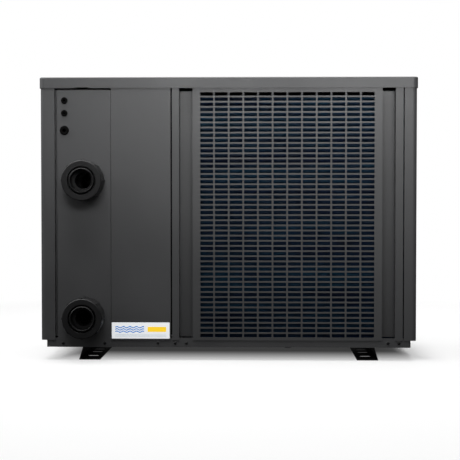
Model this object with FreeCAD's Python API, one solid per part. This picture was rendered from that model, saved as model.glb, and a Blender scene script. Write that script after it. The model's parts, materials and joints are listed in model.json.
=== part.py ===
import FreeCAD, Part
import math
import os

# Pool heat pump unit, in millimetres.
# +X runs along the cabinet, -Y is the face with the water unions and the air intake, +Y is the
# fan face, +Z is up. The origin is on the floor, at the centre of the four foot slots.

# ---- driving dimensions ----
LID_W = 864.0              # lid, outside
LID_D = 359.0
TOTAL_H = 648.0
LID_H = 25.0
LID_GAP = 0.8              # between the cabinet and the inside of the lid's skirt
SHEET = 1.5                # sheet steel
CORNER_R = 10.0            # vertical edges of the cabinet
FOOT_H = 30.5
PANEL_Z = 46.5             # lower edge of the wrap-round panels
PAN_W = 834.0              # base pan, outside
FOOT_X = 319.0             # slot centres, from the middle
FOOT_SLOT_Y = 98.0
FOOT_SLOT_Y2 = 25.0
PIPE_X = -326.6            # water unions
PIPE_Z_LOW = 101.5
PIPE_Z_HIGH = 412.0
SOCKET_R = 25.15           # socket for a 50 mm pipe
SOCKET_DEPTH = 31.0
GRILLE_X = 134.7           # middle of the grille
GRILLE_COLS = 12
GRILLE_ROWS = 48
GRILLE_PITCH_X = 33.4
GRILLE_PITCH_Z = 11.74
SLOT_W = 29.5
SLOT_H = 8.0
GRILLE_Z = 53.6            # lower edge of the lowest slot
FAN_X = 140.0
FAN_Z = 335.0
FAN_R = 212.0
FAN_BLADES = 3
COIL_Z0 = 37.0
COIL_Z1 = 603.0
COMPRESSOR_X = -200.0
COMPRESSOR_Y = 58.0
EXCHANGER_Y = -25.0
CONTROL_X = -262.0
CONTROL_Z = 500.0

# ---- worked-out levels ----
BODY_X = LID_W / 2 - SHEET - LID_GAP
BODY_Y = LID_D / 2 - SHEET - LID_GAP + 0.1
LID_Z = TOTAL_H - LID_H
PAN_TOP = 52.0
RIM_CLEAR_Z = PAN_TOP + 2.0    # inward flanges start here, above the pan's rim
PANEL_TOP = TOTAL_H - SHEET - 5.0
PAN_X = PAN_W / 2
PAN_Y = BODY_Y - SHEET
IN_Y = BODY_Y - SHEET
FACE_Y = -BODY_Y

V = FreeCAD.Vector
UP = V(0, 0, 1)
ALONG_X = V(1, 0, 0)
ALONG_Y = V(0, 1, 0)


# ---- helpers ----
def box(x0, x1, y0, y1, z0, z1):
    return Part.makeBox(x1 - x0, y1 - y0, z1 - z0, V(x0, y0, z0))


def rod(x, y, z, r, length, axis=UP):
    return Part.makeCylinder(r, length, V(x, y, z), axis)


def ring(x, y, z, r_out, r_in, length, axis=UP):
    return rod(x, y, z, r_out, length, axis).cut(rod(x, y, z, r_in, length, axis))


def join(shapes):
    return shapes[0].multiFuse(shapes[1:]).removeSplitter()


def group(shapes):
    return Part.makeCompound(shapes)


def save(name, shape):
    shape.exportStep("parts/" + name + ".step")


def prism(points, z0, z1):
    """Upright prism over a closed list of (x, y) points."""
    wire = Part.makePolygon([V(x, y, z0) for x, y in points + points[:1]])
    return Part.Face(wire).extrude(V(0, 0, z1 - z0))


def rounded_block(x, y, r, z0, z1):
    """Block centred on the origin, with its vertical edges rounded."""
    block = box(-x, x, -y, y, z0, z1)
    edges = [e for e in block.Edges if abs(e.tangentAt(e.FirstParameter).z) > 0.9]
    return block.makeFillet(r, edges)


def turned(profile, x, y, z, axis=UP):
    """Solid of revolution: profile is a closed list of (radius, height) points."""
    wire = Part.makePolygon([V(r, 0, h) for r, h in profile + profile[:1]])
    solid = Part.Face(wire).revolve(V(0, 0, 0), UP, 360)
    solid.Placement = FreeCAD.Placement(V(x, y, z), FreeCAD.Rotation(UP, axis))
    return solid


def pipe_run(points, r, bend):
    """Round bar along a list of points: straight runs joined by tangent arcs."""
    points = [V(*p) for p in points]
    edges = []
    start = points[0]
    for before, corner, after in zip(points, points[1:], points[2:]):
        a = (before - corner).normalize()
        b = (after - corner).normalize()
        half = a.getAngle(b) / 2
        reach = bend / math.tan(half)
        p = corner + a * reach
        q = corner + b * reach
        middle = corner + (a + b).normalize() * (bend / math.sin(half) - bend)
        edges.append(Part.LineSegment(start, p).toShape())
        edges.append(Part.Arc(p, middle, q).toShape())
        start = q
    edges.append(Part.LineSegment(start, points[-1]).toShape())
    path = Part.Wire(edges)
    circle = Part.Wire([Part.makeCircle(r, points[0], points[1] - points[0])])
    return path.makePipeShell([circle], True, False)


def hex_bolt(x, y, z, axis, r, length, head_r, head_h):
    """Hexagon-headed bolt: the head stands on z, the shank goes down the axis."""
    angles = [math.radians(60 * i) for i in range(6)]
    hexagon = [(head_r * math.cos(a), head_r * math.sin(a)) for a in angles]
    bolt = prism(hexagon, -head_h, 0).fuse(Part.makeCylinder(r, length))
    bolt.Placement = FreeCAD.Placement(V(x, y, z), FreeCAD.Rotation(UP, axis))
    return bolt


# ---- outer casing ----
LID_NOTCH_X = -333.0       # small cut-out over the pipe panel
LID_SCREW_Y = 110.0
FIELD_EDGE = 26.0          # rim around the pressed field
LID_SCREW_Z = LID_Z + 12.0


def lid_screw_points():
    sides = (-1, 1)
    return [(side * LID_W / 2, y, LID_SCREW_Z, side) for side in sides for y in (-LID_SCREW_Y, LID_SCREW_Y)]


def countersunk(x, y, z, side, slack):
    """Countersunk screw with its flat head flush with a side wall."""
    inward = V(-side, 0, 0)
    head = Part.makeCone(4.2 + slack, 2.4 + slack, 1.8, V(x, y, z), inward)
    return head.fuse(Part.makeCylinder(2.0 + slack, 9.0, V(x, y, z), inward))


def lid_form(inset):
    """The lid's outside, or its inside: a rounded block with a shallow pressed field on top."""
    x = LID_W / 2 - inset
    y = LID_D / 2 - inset
    block = rounded_block(x, y, CORNER_R + 2.0 - inset, LID_Z - inset, TOTAL_H - inset)
    top = [e for e in block.Edges if e.BoundBox.ZMin > TOTAL_H - inset - 0.01]
    block = block.makeFillet(3.2 - inset, top)
    turns = ((1, 1), (-1, 1), (-1, -1), (1, -1), (1, 1))
    rims = []
    edge, top_z = FIELD_EDGE - inset, TOTAL_H - inset
    for margin, z in ((edge, top_z), (edge + 4.0, top_z - 2.0)):
        rims.append(Part.makePolygon([V(sx * (x - margin), sy * (y - margin), z) for sx, sy in turns]))
    return block.cut(Part.makeLoft(rims, True))


def make_top_lid():
    lid = lid_form(0.0).cut(lid_form(SHEET))
    notch = box(LID_NOTCH_X - 15.0, LID_NOTCH_X + 15.0, -LID_D, 0, LID_Z - 5.0, LID_Z + 1.8)
    holes = [countersunk(*p, 0.05) for p in lid_screw_points()]
    return lid.cut([notch] + holes)


RETURN_X_LEFT = -397.0     # ends of the side panels' wrap-round returns
RETURN_X_RIGHT = 401.0
RETURN_DEPTH = 11.0
SIDE_SLOT_COLS = 7
SIDE_SLOT_Y = -17.0
HANDLE_Y = -40.0
HANDLE_Z = 548.0
HANDLE_W = 118.0
HANDLE_H = 34.0
HANDLE_DEPTH = 14.0
HANDLE_WALL = 2.0
HANDLE_SLACK = 0.3         # between the cup and the hole in the panel


def side_shell(side, end_x):
    """Side panel: a shell that wraps both corners and ends in inward flanges at end_x."""
    outer = rounded_block(BODY_X, BODY_Y, CORNER_R, PANEL_Z, PANEL_TOP)
    inner = rounded_block(BODY_X - SHEET, IN_Y, CORNER_R - SHEET, PANEL_Z - 1, PANEL_TOP + 1)
    shell = outer.cut(inner)
    if side < 0:
        shell = shell.common(box(-BODY_X - 1, end_x, -BODY_Y - 1, BODY_Y + 1, PANEL_Z, PANEL_TOP))
    else:
        shell = shell.common(box(end_x, BODY_X + 1, -BODY_Y - 1, BODY_Y + 1, PANEL_Z, PANEL_TOP))
    flanges = []
    for y in (-1, 1):
        low, high = sorted((y * BODY_Y, y * (BODY_Y - RETURN_DEPTH)))
        x0, x1 = sorted((end_x, end_x + side * SHEET))
        flanges.append(box(x0, x1, low, high, RIM_CLEAR_Z, PANEL_TOP))
    return join([shell] + flanges)


def side_cuts(side):
    """Openings in a side panel: the handle's window and the lid screws."""
    window = box(-BODY_X - 5, -BODY_X + 5, -HANDLE_W / 2, HANDLE_W / 2, -HANDLE_H / 2, HANDLE_H / 2)
    window.translate(V(0 if side < 0 else 2 * BODY_X, HANDLE_Y, HANDLE_Z))
    return [window] + [countersunk(*p, 0.3) for p in lid_screw_points()]


def make_side_panel_left():
    return side_shell(-1, RETURN_X_LEFT).cut(side_cuts(-1))


def make_side_panel_right():
    shell = side_shell(1, RETURN_X_RIGHT)
    wide = GRILLE_PITCH_X * (SIDE_SLOT_COLS - 1)
    columns = [SIDE_SLOT_Y - wide / 2 + GRILLE_PITCH_X * i for i in range(SIDE_SLOT_COLS)]
    slots = []
    for y in columns:
        for row in range(GRILLE_ROWS - 12):
            z = GRILLE_Z + GRILLE_PITCH_Z * row
            slots.append(box(BODY_X - 5, BODY_X + 5, y - SLOT_W / 2, y + SLOT_W / 2, z, z + SLOT_H))
    return shell.cut(slots + side_cuts(1))


def side_handle(side):
    """Moulded hand recess: a rim outside the panel and a cup behind it."""
    rim = box(0, 2.2, -HANDLE_W / 2 - 7, HANDLE_W / 2 + 7, -HANDLE_H / 2 - 7, HANDLE_H / 2 + 7)
    long_edges = [e for e in rim.Edges if abs(e.tangentAt(e.FirstParameter).x) > 0.9]
    rim = rim.makeFillet(9.0, long_edges)
    rim.translate(V(-2.2, 0, 0))
    half_w, half_h = HANDLE_W / 2 - HANDLE_SLACK, HANDLE_H / 2 - HANDLE_SLACK
    wall = HANDLE_WALL
    cup = box(0, HANDLE_DEPTH, -half_w, half_w, -half_h, half_h)
    hollow = box(-4, HANDLE_DEPTH - wall, -half_w + wall, half_w - wall, -half_h + wall, half_h - wall)
    handle = rim.fuse(cup).cut(hollow)
    if side > 0:
        handle.rotate(V(0, 0, 0), UP, 180)
    handle.translate(V(side * BODY_X, HANDLE_Y, HANDLE_Z))
    return handle


def make_side_handles():
    return group([side_handle(-1), side_handle(1)])


def make_base_pan():
    outer = rounded_block(PAN_X, PAN_Y, 5.0, FOOT_H, PAN_TOP)
    inner = rounded_block(PAN_X - SHEET, PAN_Y - SHEET, 3.5, FOOT_H + SHEET, PAN_TOP + 1)
    pan = outer.cut(inner)
    floor = FOOT_H + SHEET
    beads = [box(x - 9, x + 9, -120, 120, floor, floor + 2.5) for x in (-30, 10, 270, 300)]
    holes = [rod(FAN_X, 0, 0, 9.0, 60)]
    holes += [rod(x, y, 0, 3.3, 60) for x, y in foot_bolt_points()]
    holes += [rod(x, y, 0, 3.3, 60) for x, y in compressor_bolt_points()]
    holes += [rod(x, FACE_Y - 5, z, 1.9, 12, ALONG_Y) for x, z in rail_screw_points()]
    return join([pan] + beads).cut(holes)


PIPE_PANEL_X0 = -391.0
PIPE_PANEL_X1 = -268.8
PIPE_PANEL_TOP = 619.0
SERVICE_X0 = -268.0
SERVICE_X1 = -131.6
GLAND_X = -374.4
GLANDS = ((595.0, 7.5, 2.6), (566.0, 7.5, 2.6), (527.0, 10.4, 4.0))   # height, rim radius, hole radius
UNION_HOLE_R = 28.6


def rail_screw_points():
    """Screws along the foot of the rear panels: (x, z)."""
    pipe_side = [(-379.0, 39.5), (-283.0, 39.5)]
    return pipe_side + [(-161.0, 40.0), (-121.6, 40.0), (-96.0, 40.0), (365.0, 40.5), (390.0, 40.5)]


def make_rear_pipe_panel():
    face = box(PIPE_PANEL_X0, PIPE_PANEL_X1, FACE_Y, FACE_Y + SHEET, FOOT_H, PIPE_PANEL_TOP)
    left = box(PIPE_PANEL_X0, PIPE_PANEL_X0 + SHEET, FACE_Y, FACE_Y + 14, RIM_CLEAR_Z, PIPE_PANEL_TOP)
    tongue = box(PIPE_PANEL_X0 - 13, PIPE_PANEL_X0 + SHEET, FACE_Y + 12.5, FACE_Y + 14, RIM_CLEAR_Z,
                 PIPE_PANEL_TOP)
    right = box(PIPE_PANEL_X1 - SHEET, PIPE_PANEL_X1, FACE_Y, FACE_Y + 10, RIM_CLEAR_Z, PIPE_PANEL_TOP)
    top = box(PIPE_PANEL_X0, PIPE_PANEL_X1, FACE_Y, FACE_Y + 12, PIPE_PANEL_TOP - SHEET, PIPE_PANEL_TOP)
    holes = [rod(PIPE_X, FACE_Y - 1, z, UNION_HOLE_R, 5, ALONG_Y) for z in (PIPE_Z_LOW, PIPE_Z_HIGH)]
    holes += [rod(GLAND_X, FACE_Y - 1, z, rim - 1.8, 5, ALONG_Y) for z, rim, _ in GLANDS]
    holes += [rod(x, FACE_Y - 1, z, 1.9, 5, ALONG_Y) for x, z in rail_screw_points()[:2]]
    return join([face, left, tongue, right, top]).cut(holes)


def make_rear_service_panel():
    face = box(SERVICE_X0, SERVICE_X1, FACE_Y, FACE_Y + SHEET, PANEL_Z, PANEL_TOP)
    left = box(SERVICE_X0, SERVICE_X0 + SHEET, FACE_Y, FACE_Y + 10, RIM_CLEAR_Z, PANEL_TOP)
    right = box(SERVICE_X1 - SHEET, SERVICE_X1, FACE_Y, FACE_Y + 10, RIM_CLEAR_Z, PANEL_TOP)
    return join([face, left, right])


CHANNEL_DEPTH = 27.0
CHANNEL_TOP = 617.5
OUTER_STRIP_L = (-128.2, -112.3)
CHANNEL_L = (-112.3, -81.3)
CHANNEL_R = (350.9, 381.0)
OUTER_STRIP_R = (381.0, 398.4)


def make_rear_grille_panel():
    """Pressed panel: two recessed channels beside a flat field of slots."""
    y0 = FACE_Y
    y1 = FACE_Y + CHANNEL_DEPTH
    floor_y = y1 + SHEET
    left_edge, right_edge = OUTER_STRIP_L[0], OUTER_STRIP_R[1]
    a0, a1 = CHANNEL_L
    b0, b1 = CHANNEL_R
    outside = [(left_edge, y0), (a0, y0), (a0, y1), (a1, y1), (a1, y0),
               (b0, y0), (b0, y1), (b1, y1), (b1, y0), (right_edge, y0)]
    inside = [(right_edge, y0 + 11), (right_edge - SHEET, y0 + 11), (right_edge - SHEET, y0 + SHEET),
              (b1 + SHEET, y0 + SHEET), (b1 + SHEET, floor_y), (b0 - SHEET, floor_y),
              (b0 - SHEET, y0 + 2 * SHEET),
              (a1 + SHEET, y0 + 2 * SHEET), (a1 + SHEET, floor_y), (a0 - SHEET, floor_y),
              (a0 - SHEET, y0 + SHEET),
              (left_edge + SHEET, y0 + SHEET), (left_edge + SHEET, y0 + 11), (left_edge, y0 + 11)]
    panel = prism(outside + inside, PANEL_Z, PANEL_TOP)
    clear = [box(a - 2 * SHEET, b + 2 * SHEET, y1 - 0.01, floor_y + 1, CHANNEL_TOP, PANEL_TOP + 1)
             for a, b in (CHANNEL_L, CHANNEL_R)]
    clear += [box(-PAN_X, PAN_X, -PAN_Y - 0.01, 0, PANEL_Z - 1, PAN_TOP + 0.5)]
    first = GRILLE_X - GRILLE_PITCH_X * (GRILLE_COLS - 1) / 2
    slots = []
    for column in range(GRILLE_COLS):
        x = first + GRILLE_PITCH_X * column
        for row in range(GRILLE_ROWS):
            z = GRILLE_Z + GRILLE_PITCH_Z * row
            slots.append(box(x - SLOT_W / 2, x + SLOT_W / 2, y0 - 1, y0 + 3 * SHEET, z, z + SLOT_H))
    return panel.cut(clear).cut(slots)


GUARD_R = 226.0
ORIFICE_R = 221.0
FRONT_X0 = -394.5
FRONT_X1 = 398.5


def make_front_panel():
    face = box(FRONT_X0, FRONT_X1, IN_Y, BODY_Y, PANEL_Z, PANEL_TOP)
    edges = (FRONT_X0, FRONT_X1 - SHEET)
    sides = [box(x, x + SHEET, BODY_Y - 11, BODY_Y, RIM_CLEAR_Z, PANEL_TOP) for x in edges]
    collar = rod(FAN_X, IN_Y - 30, FAN_Z, ORIFICE_R + SHEET, 30, ALONG_Y)
    bore = rod(FAN_X, IN_Y - 40, FAN_Z, ORIFICE_R, 60, ALONG_Y)
    window = box(CONTROL_X - 66, CONTROL_X + 66, 0, 300, CONTROL_Z - 42, CONTROL_Z + 42)
    guard_holes = [rod(x, 0, z, 1.9, 300, ALONG_Y) for x, z in guard_screw_points()]
    return join([face, collar] + sides).cut([bore, window] + guard_holes)


GUARD_LUG_R = 233.0
SPOKE_START = 15.4         # degrees
SPOKE_IN = 30.7


def guard_screw_points():
    angles = [math.radians(45 + 90 * i) for i in range(4)]
    return [(FAN_X + GUARD_LUG_R * math.cos(a), FAN_Z + GUARD_LUG_R * math.sin(a)) for a in angles]


def make_fan_guard():
    """Welded wire guard: rings in front of radial spokes, a centre disc and four lugs."""
    wire_r = 1.5
    y_spoke = BODY_Y + wire_r + 0.5
    y_ring = y_spoke + 2.3
    rings = [Part.makeTorus(r, wire_r, V(FAN_X, y_ring, FAN_Z), ALONG_Y) for r in range(46, 230, 15)]
    rim = Part.makeTorus(GUARD_R, 1.8, V(FAN_X, y_spoke + 0.4, FAN_Z), ALONG_Y)
    disc = rod(FAN_X, y_spoke - 0.4, FAN_Z, 38.0, 3.0, ALONG_Y)
    parts = [rim, disc] + rings
    for i in range(12):
        a = math.radians(30 * i + SPOKE_START)
        direction = V(math.cos(a), 0, math.sin(a))
        foot = V(FAN_X, y_spoke, FAN_Z) + direction * SPOKE_IN
        parts.append(Part.makeCylinder(wire_r, GUARD_R - SPOKE_IN, foot, direction))
    for x, z in guard_screw_points():
        lug = rod(x, BODY_Y, z, 7.0, 2.0, ALONG_Y)
        parts.append(lug.cut(rod(x, BODY_Y - 1, z, 2.2, 5, ALONG_Y)))
    return join(parts)


def make_panel_screws():
    """Hexagon screws on the guard, countersunk ones in the lid, pan heads along the rear rail."""
    inwards = V(0, -1, 0)
    screws = [hex_bolt(x, BODY_Y + 2.0, z, inwards, 1.8, 8.0, 4.2, 2.6) for x, z in guard_screw_points()]
    screws += [countersunk(*p, 0.0) for p in lid_screw_points()]
    for index, (x, z) in enumerate(rail_screw_points()):
        y = FACE_Y if index < 2 else -PAN_Y
        head = turned([(0, 0), (3.4, 0), (3.4, 0.8), (2.2, 1.7), (0, 1.9)], x, y, z, V(0, -1, 0))
        screws.append(head.fuse(rod(x, y, z, 1.8, 8.0, ALONG_Y)))
    return group(screws)


LABEL_X = (-266.9, -134.2)
LABEL_Z = (50.3, 87.2)


def make_label_plate():
    return box(LABEL_X[0], LABEL_X[1], FACE_Y - 0.4, FACE_Y, LABEL_Z[0], LABEL_Z[1])


# ---- base and feet ----
FOOT_HALF_LEN = 166.0
FOOT_OUT = 344.2
FOOT_IN = 295.4
FOOT_LEAN = 9.5
FOOT_T = 1.5
SLOT_HALF_W = 9.0
SLOT_LEN = 30.0


def foot_bolt_points():
    return [(side * 318.0, y) for side in (-1, 1) for y in (-60.0, 60.0)]


def slot_hole(x, y, length, r, z0, z1):
    """Upright slot, long along X."""
    reach = length / 2 - r
    ends = [rod(x - reach, y, z0, r, z1 - z0), rod(x + reach, y, z0, r, z1 - z0)]
    return join([box(x - reach, x + reach, y - r, y + r, z0, z1)] + ends)


def make_foot_rail(side):
    """C-section rail: floor flange, leaning web and a top flange under the pan."""
    web = FOOT_OUT - FOOT_T
    outline = [
        (FOOT_OUT, 0), (FOOT_IN, 0), (FOOT_IN, FOOT_T), (web - 0.5, FOOT_T),
        (web - FOOT_LEAN + 0.5, FOOT_H - FOOT_T), (FOOT_IN + 8, FOOT_H - FOOT_T),
        (FOOT_IN + 8, FOOT_H), (FOOT_OUT - FOOT_LEAN, FOOT_H)]
    wire = Part.makePolygon([V(side * x, -FOOT_HALF_LEN, z) for x, z in outline + outline[:1]])
    rail = Part.Face(wire).extrude(V(0, 2 * FOOT_HALF_LEN, 0))
    places = (-FOOT_SLOT_Y, -FOOT_SLOT_Y2, FOOT_SLOT_Y2, FOOT_SLOT_Y)
    holes = [slot_hole(side * FOOT_X, y, SLOT_LEN, SLOT_HALF_W, -1, FOOT_T + 1) for y in places]
    holes += [rod(x, y, 20, 3.3, 20) for x, y in foot_bolt_points() if x * side > 0]
    return rail.cut(holes)


def make_base_bolts():
    """Bolts that hold the foot rails and the compressor to the pan."""
    floor = FOOT_H + SHEET
    top = SHELL_Z0 + 4
    down = V(0, 0, -1)
    bolts = [hex_bolt(x, y, floor, down, 3.0, 7.0, 5.8, 4.0) for x, y in foot_bolt_points()]
    bolts += [hex_bolt(x, y, top, down, 3.0, top - FOOT_H, 5.8, 4.0) for x, y in compressor_bolt_points()]
    return group(bolts)


def make_drain_spigot():
    """Condensate spigot, pushed into the pan from below."""
    profile = [(6.0, 9.0), (8.9, 9.0), (8.9, 29.0), (12.0, 29.0), (12.0, 30.5), (8.9, 30.5), (8.9, 34.0),
               (6.0, 34.0)]
    return turned(profile, FAN_X, 0, 0)


# ---- water side ----
FLANGE_T = 7.7
SPIGOT_R = 33.2
SPIGOT_END = FACE_Y - FLANGE_T - 24.0
TAIL_R = 28.0
BORE_R = 18.6
NUT_R = 45.0
COLLAR_T = 7.0
FLANGE_R = 42.6            # over the corners
NUT_MOUTH_R = 31.8         # open ring in the nut's face, round the tail
NUT_MOUTH_DEPTH = 14.0
TAIL_END = SPIGOT_END - COLLAR_T - SOCKET_DEPTH
NUT_BACK = FACE_Y - FLANGE_T - 3.5
NUT_FRONT = TAIL_END + 1.0
ORING_R = 27.0
ORING_SECTION = 1.4


def outward(z, profile):
    """Turned piece on a union's axis; profile is (radius, y) points."""
    points = [(r, -y) for r, y in profile]
    return turned(points, PIPE_X, 0, z, V(0, -1, 0))


def make_union_base(z, turn):
    """Bulkhead fitting: eight-sided flange, threaded spigot and a tail into the cabinet."""
    neck_r = UNION_HOLE_R - 0.3
    body = outward(z, [(BORE_R, ADAPTER_END), (neck_r, ADAPTER_END), (neck_r, FACE_Y - 1),
                       (SPIGOT_R, FACE_Y - 1), (SPIGOT_R, SPIGOT_END + 1.2), (SPIGOT_R - 1.2, SPIGOT_END),
                       (ORING_R + 1.6, SPIGOT_END), (ORING_R + 1.6, SPIGOT_END + 3.0),
                       (ORING_R - 1.6, SPIGOT_END + 3.0), (ORING_R - 1.6, SPIGOT_END),
                       (BORE_R, SPIGOT_END)])
    angles = [math.radians(45 * i + turn) for i in range(8)]
    middle = V(PIPE_X, FACE_Y - FLANGE_T, z)
    corners = [middle + V(math.cos(a), 0, math.sin(a)) * FLANGE_R for a in angles]
    plate = Part.Face(Part.makePolygon(corners + corners[:1])).extrude(V(0, FLANGE_T, 0))
    rim = [e for e in plate.Edges if e.BoundBox.YMax < FACE_Y - FLANGE_T + 0.01]
    plate = plate.makeChamfer(1.2, rim)
    plate = plate.cut(rod(PIPE_X, FACE_Y - 20, z, BORE_R, 40, ALONG_Y))
    return join([body, plate])


def make_union_tail(z):
    """Loose end: collar against the seal and a socket for the pipe."""
    return outward(z, [(BORE_R, SPIGOT_END), (SPIGOT_R, SPIGOT_END), (SPIGOT_R, SPIGOT_END - 5.0),
                       (TAIL_R, SPIGOT_END - 5.0), (TAIL_R, TAIL_END + 1.2), (TAIL_R - 1.2, TAIL_END),
                       (SOCKET_R + 1.0, TAIL_END), (SOCKET_R, TAIL_END + 1.6),
                       (SOCKET_R, TAIL_END + SOCKET_DEPTH), (BORE_R, TAIL_END + SOCKET_DEPTH)])


def make_union_nut(z):
    """Ring nut that draws the tail's collar onto the spigot, with eight low grip ridges."""
    shoulder = SPIGOT_END - 5.3
    nut = outward(z, [(SPIGOT_R + 0.4, NUT_BACK), (NUT_R - 1.0, NUT_BACK), (NUT_R, NUT_BACK - 1.0),
                      (NUT_R, NUT_FRONT + 1.6), (NUT_R - 1.6, NUT_FRONT), (NUT_MOUTH_R + 0.6, NUT_FRONT),
                      (NUT_MOUTH_R, NUT_FRONT + 0.6), (NUT_MOUTH_R, NUT_FRONT + NUT_MOUTH_DEPTH),
                      (TAIL_R + 0.6, NUT_FRONT + NUT_MOUTH_DEPTH), (TAIL_R + 0.6, shoulder),
                      (SPIGOT_R + 0.4, shoulder)])
    ridges = []
    for i in range(8):
        ridge = Part.makeCylinder(5.0, NUT_BACK - NUT_FRONT - 5.0, V(0, NUT_FRONT + 3.0, 0), ALONG_Y)
        ridge.translate(V(NUT_R - 3.4, 0, 0))
        ridge.rotate(V(0, 0, 0), ALONG_Y, 45 * i)
        ridge.translate(V(PIPE_X, 0, z))
        ridges.append(ridge.cut(rod(PIPE_X, FACE_Y - 90, z, NUT_R - 3.0, 90, ALONG_Y)))
    return join([nut] + ridges)


def make_union_seals():
    """Round seals in the spigots' face grooves."""
    y = SPIGOT_END + 1.55
    places = [V(PIPE_X, y, z) for z in (PIPE_Z_LOW, PIPE_Z_HIGH)]
    return group([Part.makeTorus(ORING_R, ORING_SECTION, place, ALONG_Y) for place in places])


EXCHANGER_R = 62.0
EXCHANGER_WALL = 4.0
EXCHANGER_Z0 = 58.0
EXCHANGER_Z1 = 452.0
PIPE_R = 27.0
NOZZLE_Y = EXCHANGER_Y - EXCHANGER_R - 10.0
ADAPTER_END = FACE_Y + 17.0


def water_pipe(z):
    """Straight pipe from a union's base to the exchanger's nozzle."""
    return ring(PIPE_X, ADAPTER_END, z, PIPE_R, 21.0, NOZZLE_Y - ADAPTER_END, ALONG_Y)


def make_exchanger_shell():
    shell = rod(PIPE_X, EXCHANGER_Y, EXCHANGER_Z0, EXCHANGER_R, EXCHANGER_Z1 - EXCHANGER_Z0)
    reach = EXCHANGER_Y - NOZZLE_Y
    heights = (PIPE_Z_LOW, PIPE_Z_HIGH)
    nozzles = [rod(PIPE_X, NOZZLE_Y, z, PIPE_R, reach, ALONG_Y) for z in heights]
    bores = [rod(PIPE_X, NOZZLE_Y - 1, z, PIPE_R - 6.0, reach, ALONG_Y) for z in heights]
    length = EXCHANGER_Z1 - EXCHANGER_Z0
    core = rod(PIPE_X, EXCHANGER_Y, EXCHANGER_Z0 - 1, EXCHANGER_R - EXCHANGER_WALL, length + 2)
    return join([shell] + nozzles).cut([core] + bores)


CAP_R = 70.0
CAP_T = 12.0
RISER_R = 6.0
RISER_X = 28.0


def exchanger_cap(z):
    cap = rod(PIPE_X, EXCHANGER_Y, z, CAP_R, CAP_T)
    edge = [e for e in cap.Edges if e.BoundBox.ZLength < 0.01]
    return cap.makeChamfer(1.5, edge)


def make_exchanger_caps():
    """Top cap with the risers' holes, and a bottom cap that stands on the pan."""
    floor = FOOT_H + SHEET
    stand = ring(PIPE_X, EXCHANGER_Y, floor, 60.0, 50.0, EXCHANGER_Z0 - CAP_T - floor)
    spots = (PIPE_X - RISER_X, PIPE_X + RISER_X)
    holes = [rod(x, EXCHANGER_Y, EXCHANGER_Z1 - 1, RISER_R + 0.2, CAP_T + 2) for x in spots]
    low_cap = join([exchanger_cap(EXCHANGER_Z0 - CAP_T), stand])
    return group([low_cap, exchanger_cap(EXCHANGER_Z1).cut(holes)])


def make_titanium_coil():
    """Stack of turns with two risers that leave through the top cap."""
    turns = [Part.makeTorus(44.0, RISER_R, V(PIPE_X, EXCHANGER_Y, z)) for z in range(80, 430, 22)]
    spokes = []
    for z, side in ((80, -1), (80 + 22 * 15, 1)):
        end = PIPE_X + side * RISER_X
        length = 46.0 - RISER_X
        start = end if side > 0 else end - length
        spokes.append(rod(start, EXCHANGER_Y, z, RISER_R - 0.5, length, ALONG_X))
        spokes.append(rod(end, EXCHANGER_Y, z, RISER_R, EXCHANGER_Z1 + CAP_T + 14 - z))
    link = rod(PIPE_X, EXCHANGER_Y + 44, 80, RISER_R - 0.5, 330)
    return join(turns + spokes + [link])


SWITCH_Y = -128.0
SWITCH_HOLE_R = 7.0
PADDLE_X = PIPE_X + 18.0


def make_flow_switch():
    """Switch body on the side of the upper pipe, with a fork for the paddle's pin."""
    x = PIPE_X + PIPE_R
    body = box(x + 4, x + 34, SWITCH_Y - 14, SWITCH_Y + 14, PIPE_Z_HIGH - 16, PIPE_Z_HIGH + 16)
    edges = [e for e in body.Edges if abs(e.tangentAt(e.FirstParameter).x) > 0.9]
    body = body.makeFillet(4.0, edges)
    neck = rod(x - 8.0, SWITCH_Y, PIPE_Z_HIGH, SWITCH_HOLE_R - 0.2, 13.0, ALONG_X)
    slot = box(x - 9.0, x - 2.0, SWITCH_Y - 8, SWITCH_Y + 8, PIPE_Z_HIGH - 3.0, PIPE_Z_HIGH + 3.0)
    pin_hole = rod(x - 5.0, SWITCH_Y, PIPE_Z_HIGH - 10, 1.05, 20)
    return join([body, neck]).cut([slot, pin_hole])


def make_flow_paddle():
    """Thin blade across the stream, turning on its own pin in the switch's fork."""
    x = PIPE_X + PIPE_R - 5.0
    pin = rod(x, SWITCH_Y, PIPE_Z_HIGH - 4.9, 1.0, 9.8)
    hub = rod(x, SWITCH_Y, PIPE_Z_HIGH - 2.6, 2.2, 5.2)
    arm = box(PIPE_X + 13.0, x, SWITCH_Y - 0.8, SWITCH_Y + 0.8, PIPE_Z_HIGH - 2.4, PIPE_Z_HIGH + 2.4)
    z = PIPE_Z_HIGH
    blade = box(PIPE_X + 4.5, PIPE_X + 15.0, SWITCH_Y - 0.6, SWITCH_Y + 0.6, z - 10.5, z + 10.5)
    return join([pin, hub, arm, blade])


def make_water_pipes():
    outlet = water_pipe(PIPE_Z_HIGH).cut(rod(PIPE_X, SWITCH_Y, PIPE_Z_HIGH, SWITCH_HOLE_R, 60, ALONG_X))
    return group([water_pipe(PIPE_Z_LOW), outlet])


# ---- refrigerant side ----
SHELL_R = 58.0
SHELL_T = 3.5
SHELL_Z0 = 66.0
SHELL_Z1 = 322.0
SHAFT_R = 8.0
PLATE_R = 75.0
ACC_Y = -56.0
ACC_R = 30.0
VALVE_Z = 404.0
VALVE_Y = 20.0
PARTITION_X = -122.0


def compressor_bolt_points():
    angles = [math.radians(90 + 120 * i) for i in range(3)]
    return [(COMPRESSOR_X + 62.0 * math.cos(a), COMPRESSOR_Y + 62.0 * math.sin(a)) for a in angles]


def capsule(r, z0, z1, dome):
    """Half outline of an upright vessel with domed ends, as (radius, height) points."""
    steps = [math.radians(90 * i / 6) for i in range(7)]
    low = [(r * math.sin(a), z0 + dome - dome * math.cos(a)) for a in steps]
    high = [(r * math.sin(a), z1 - dome + dome * math.cos(a)) for a in reversed(steps)]
    return low + high


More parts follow.
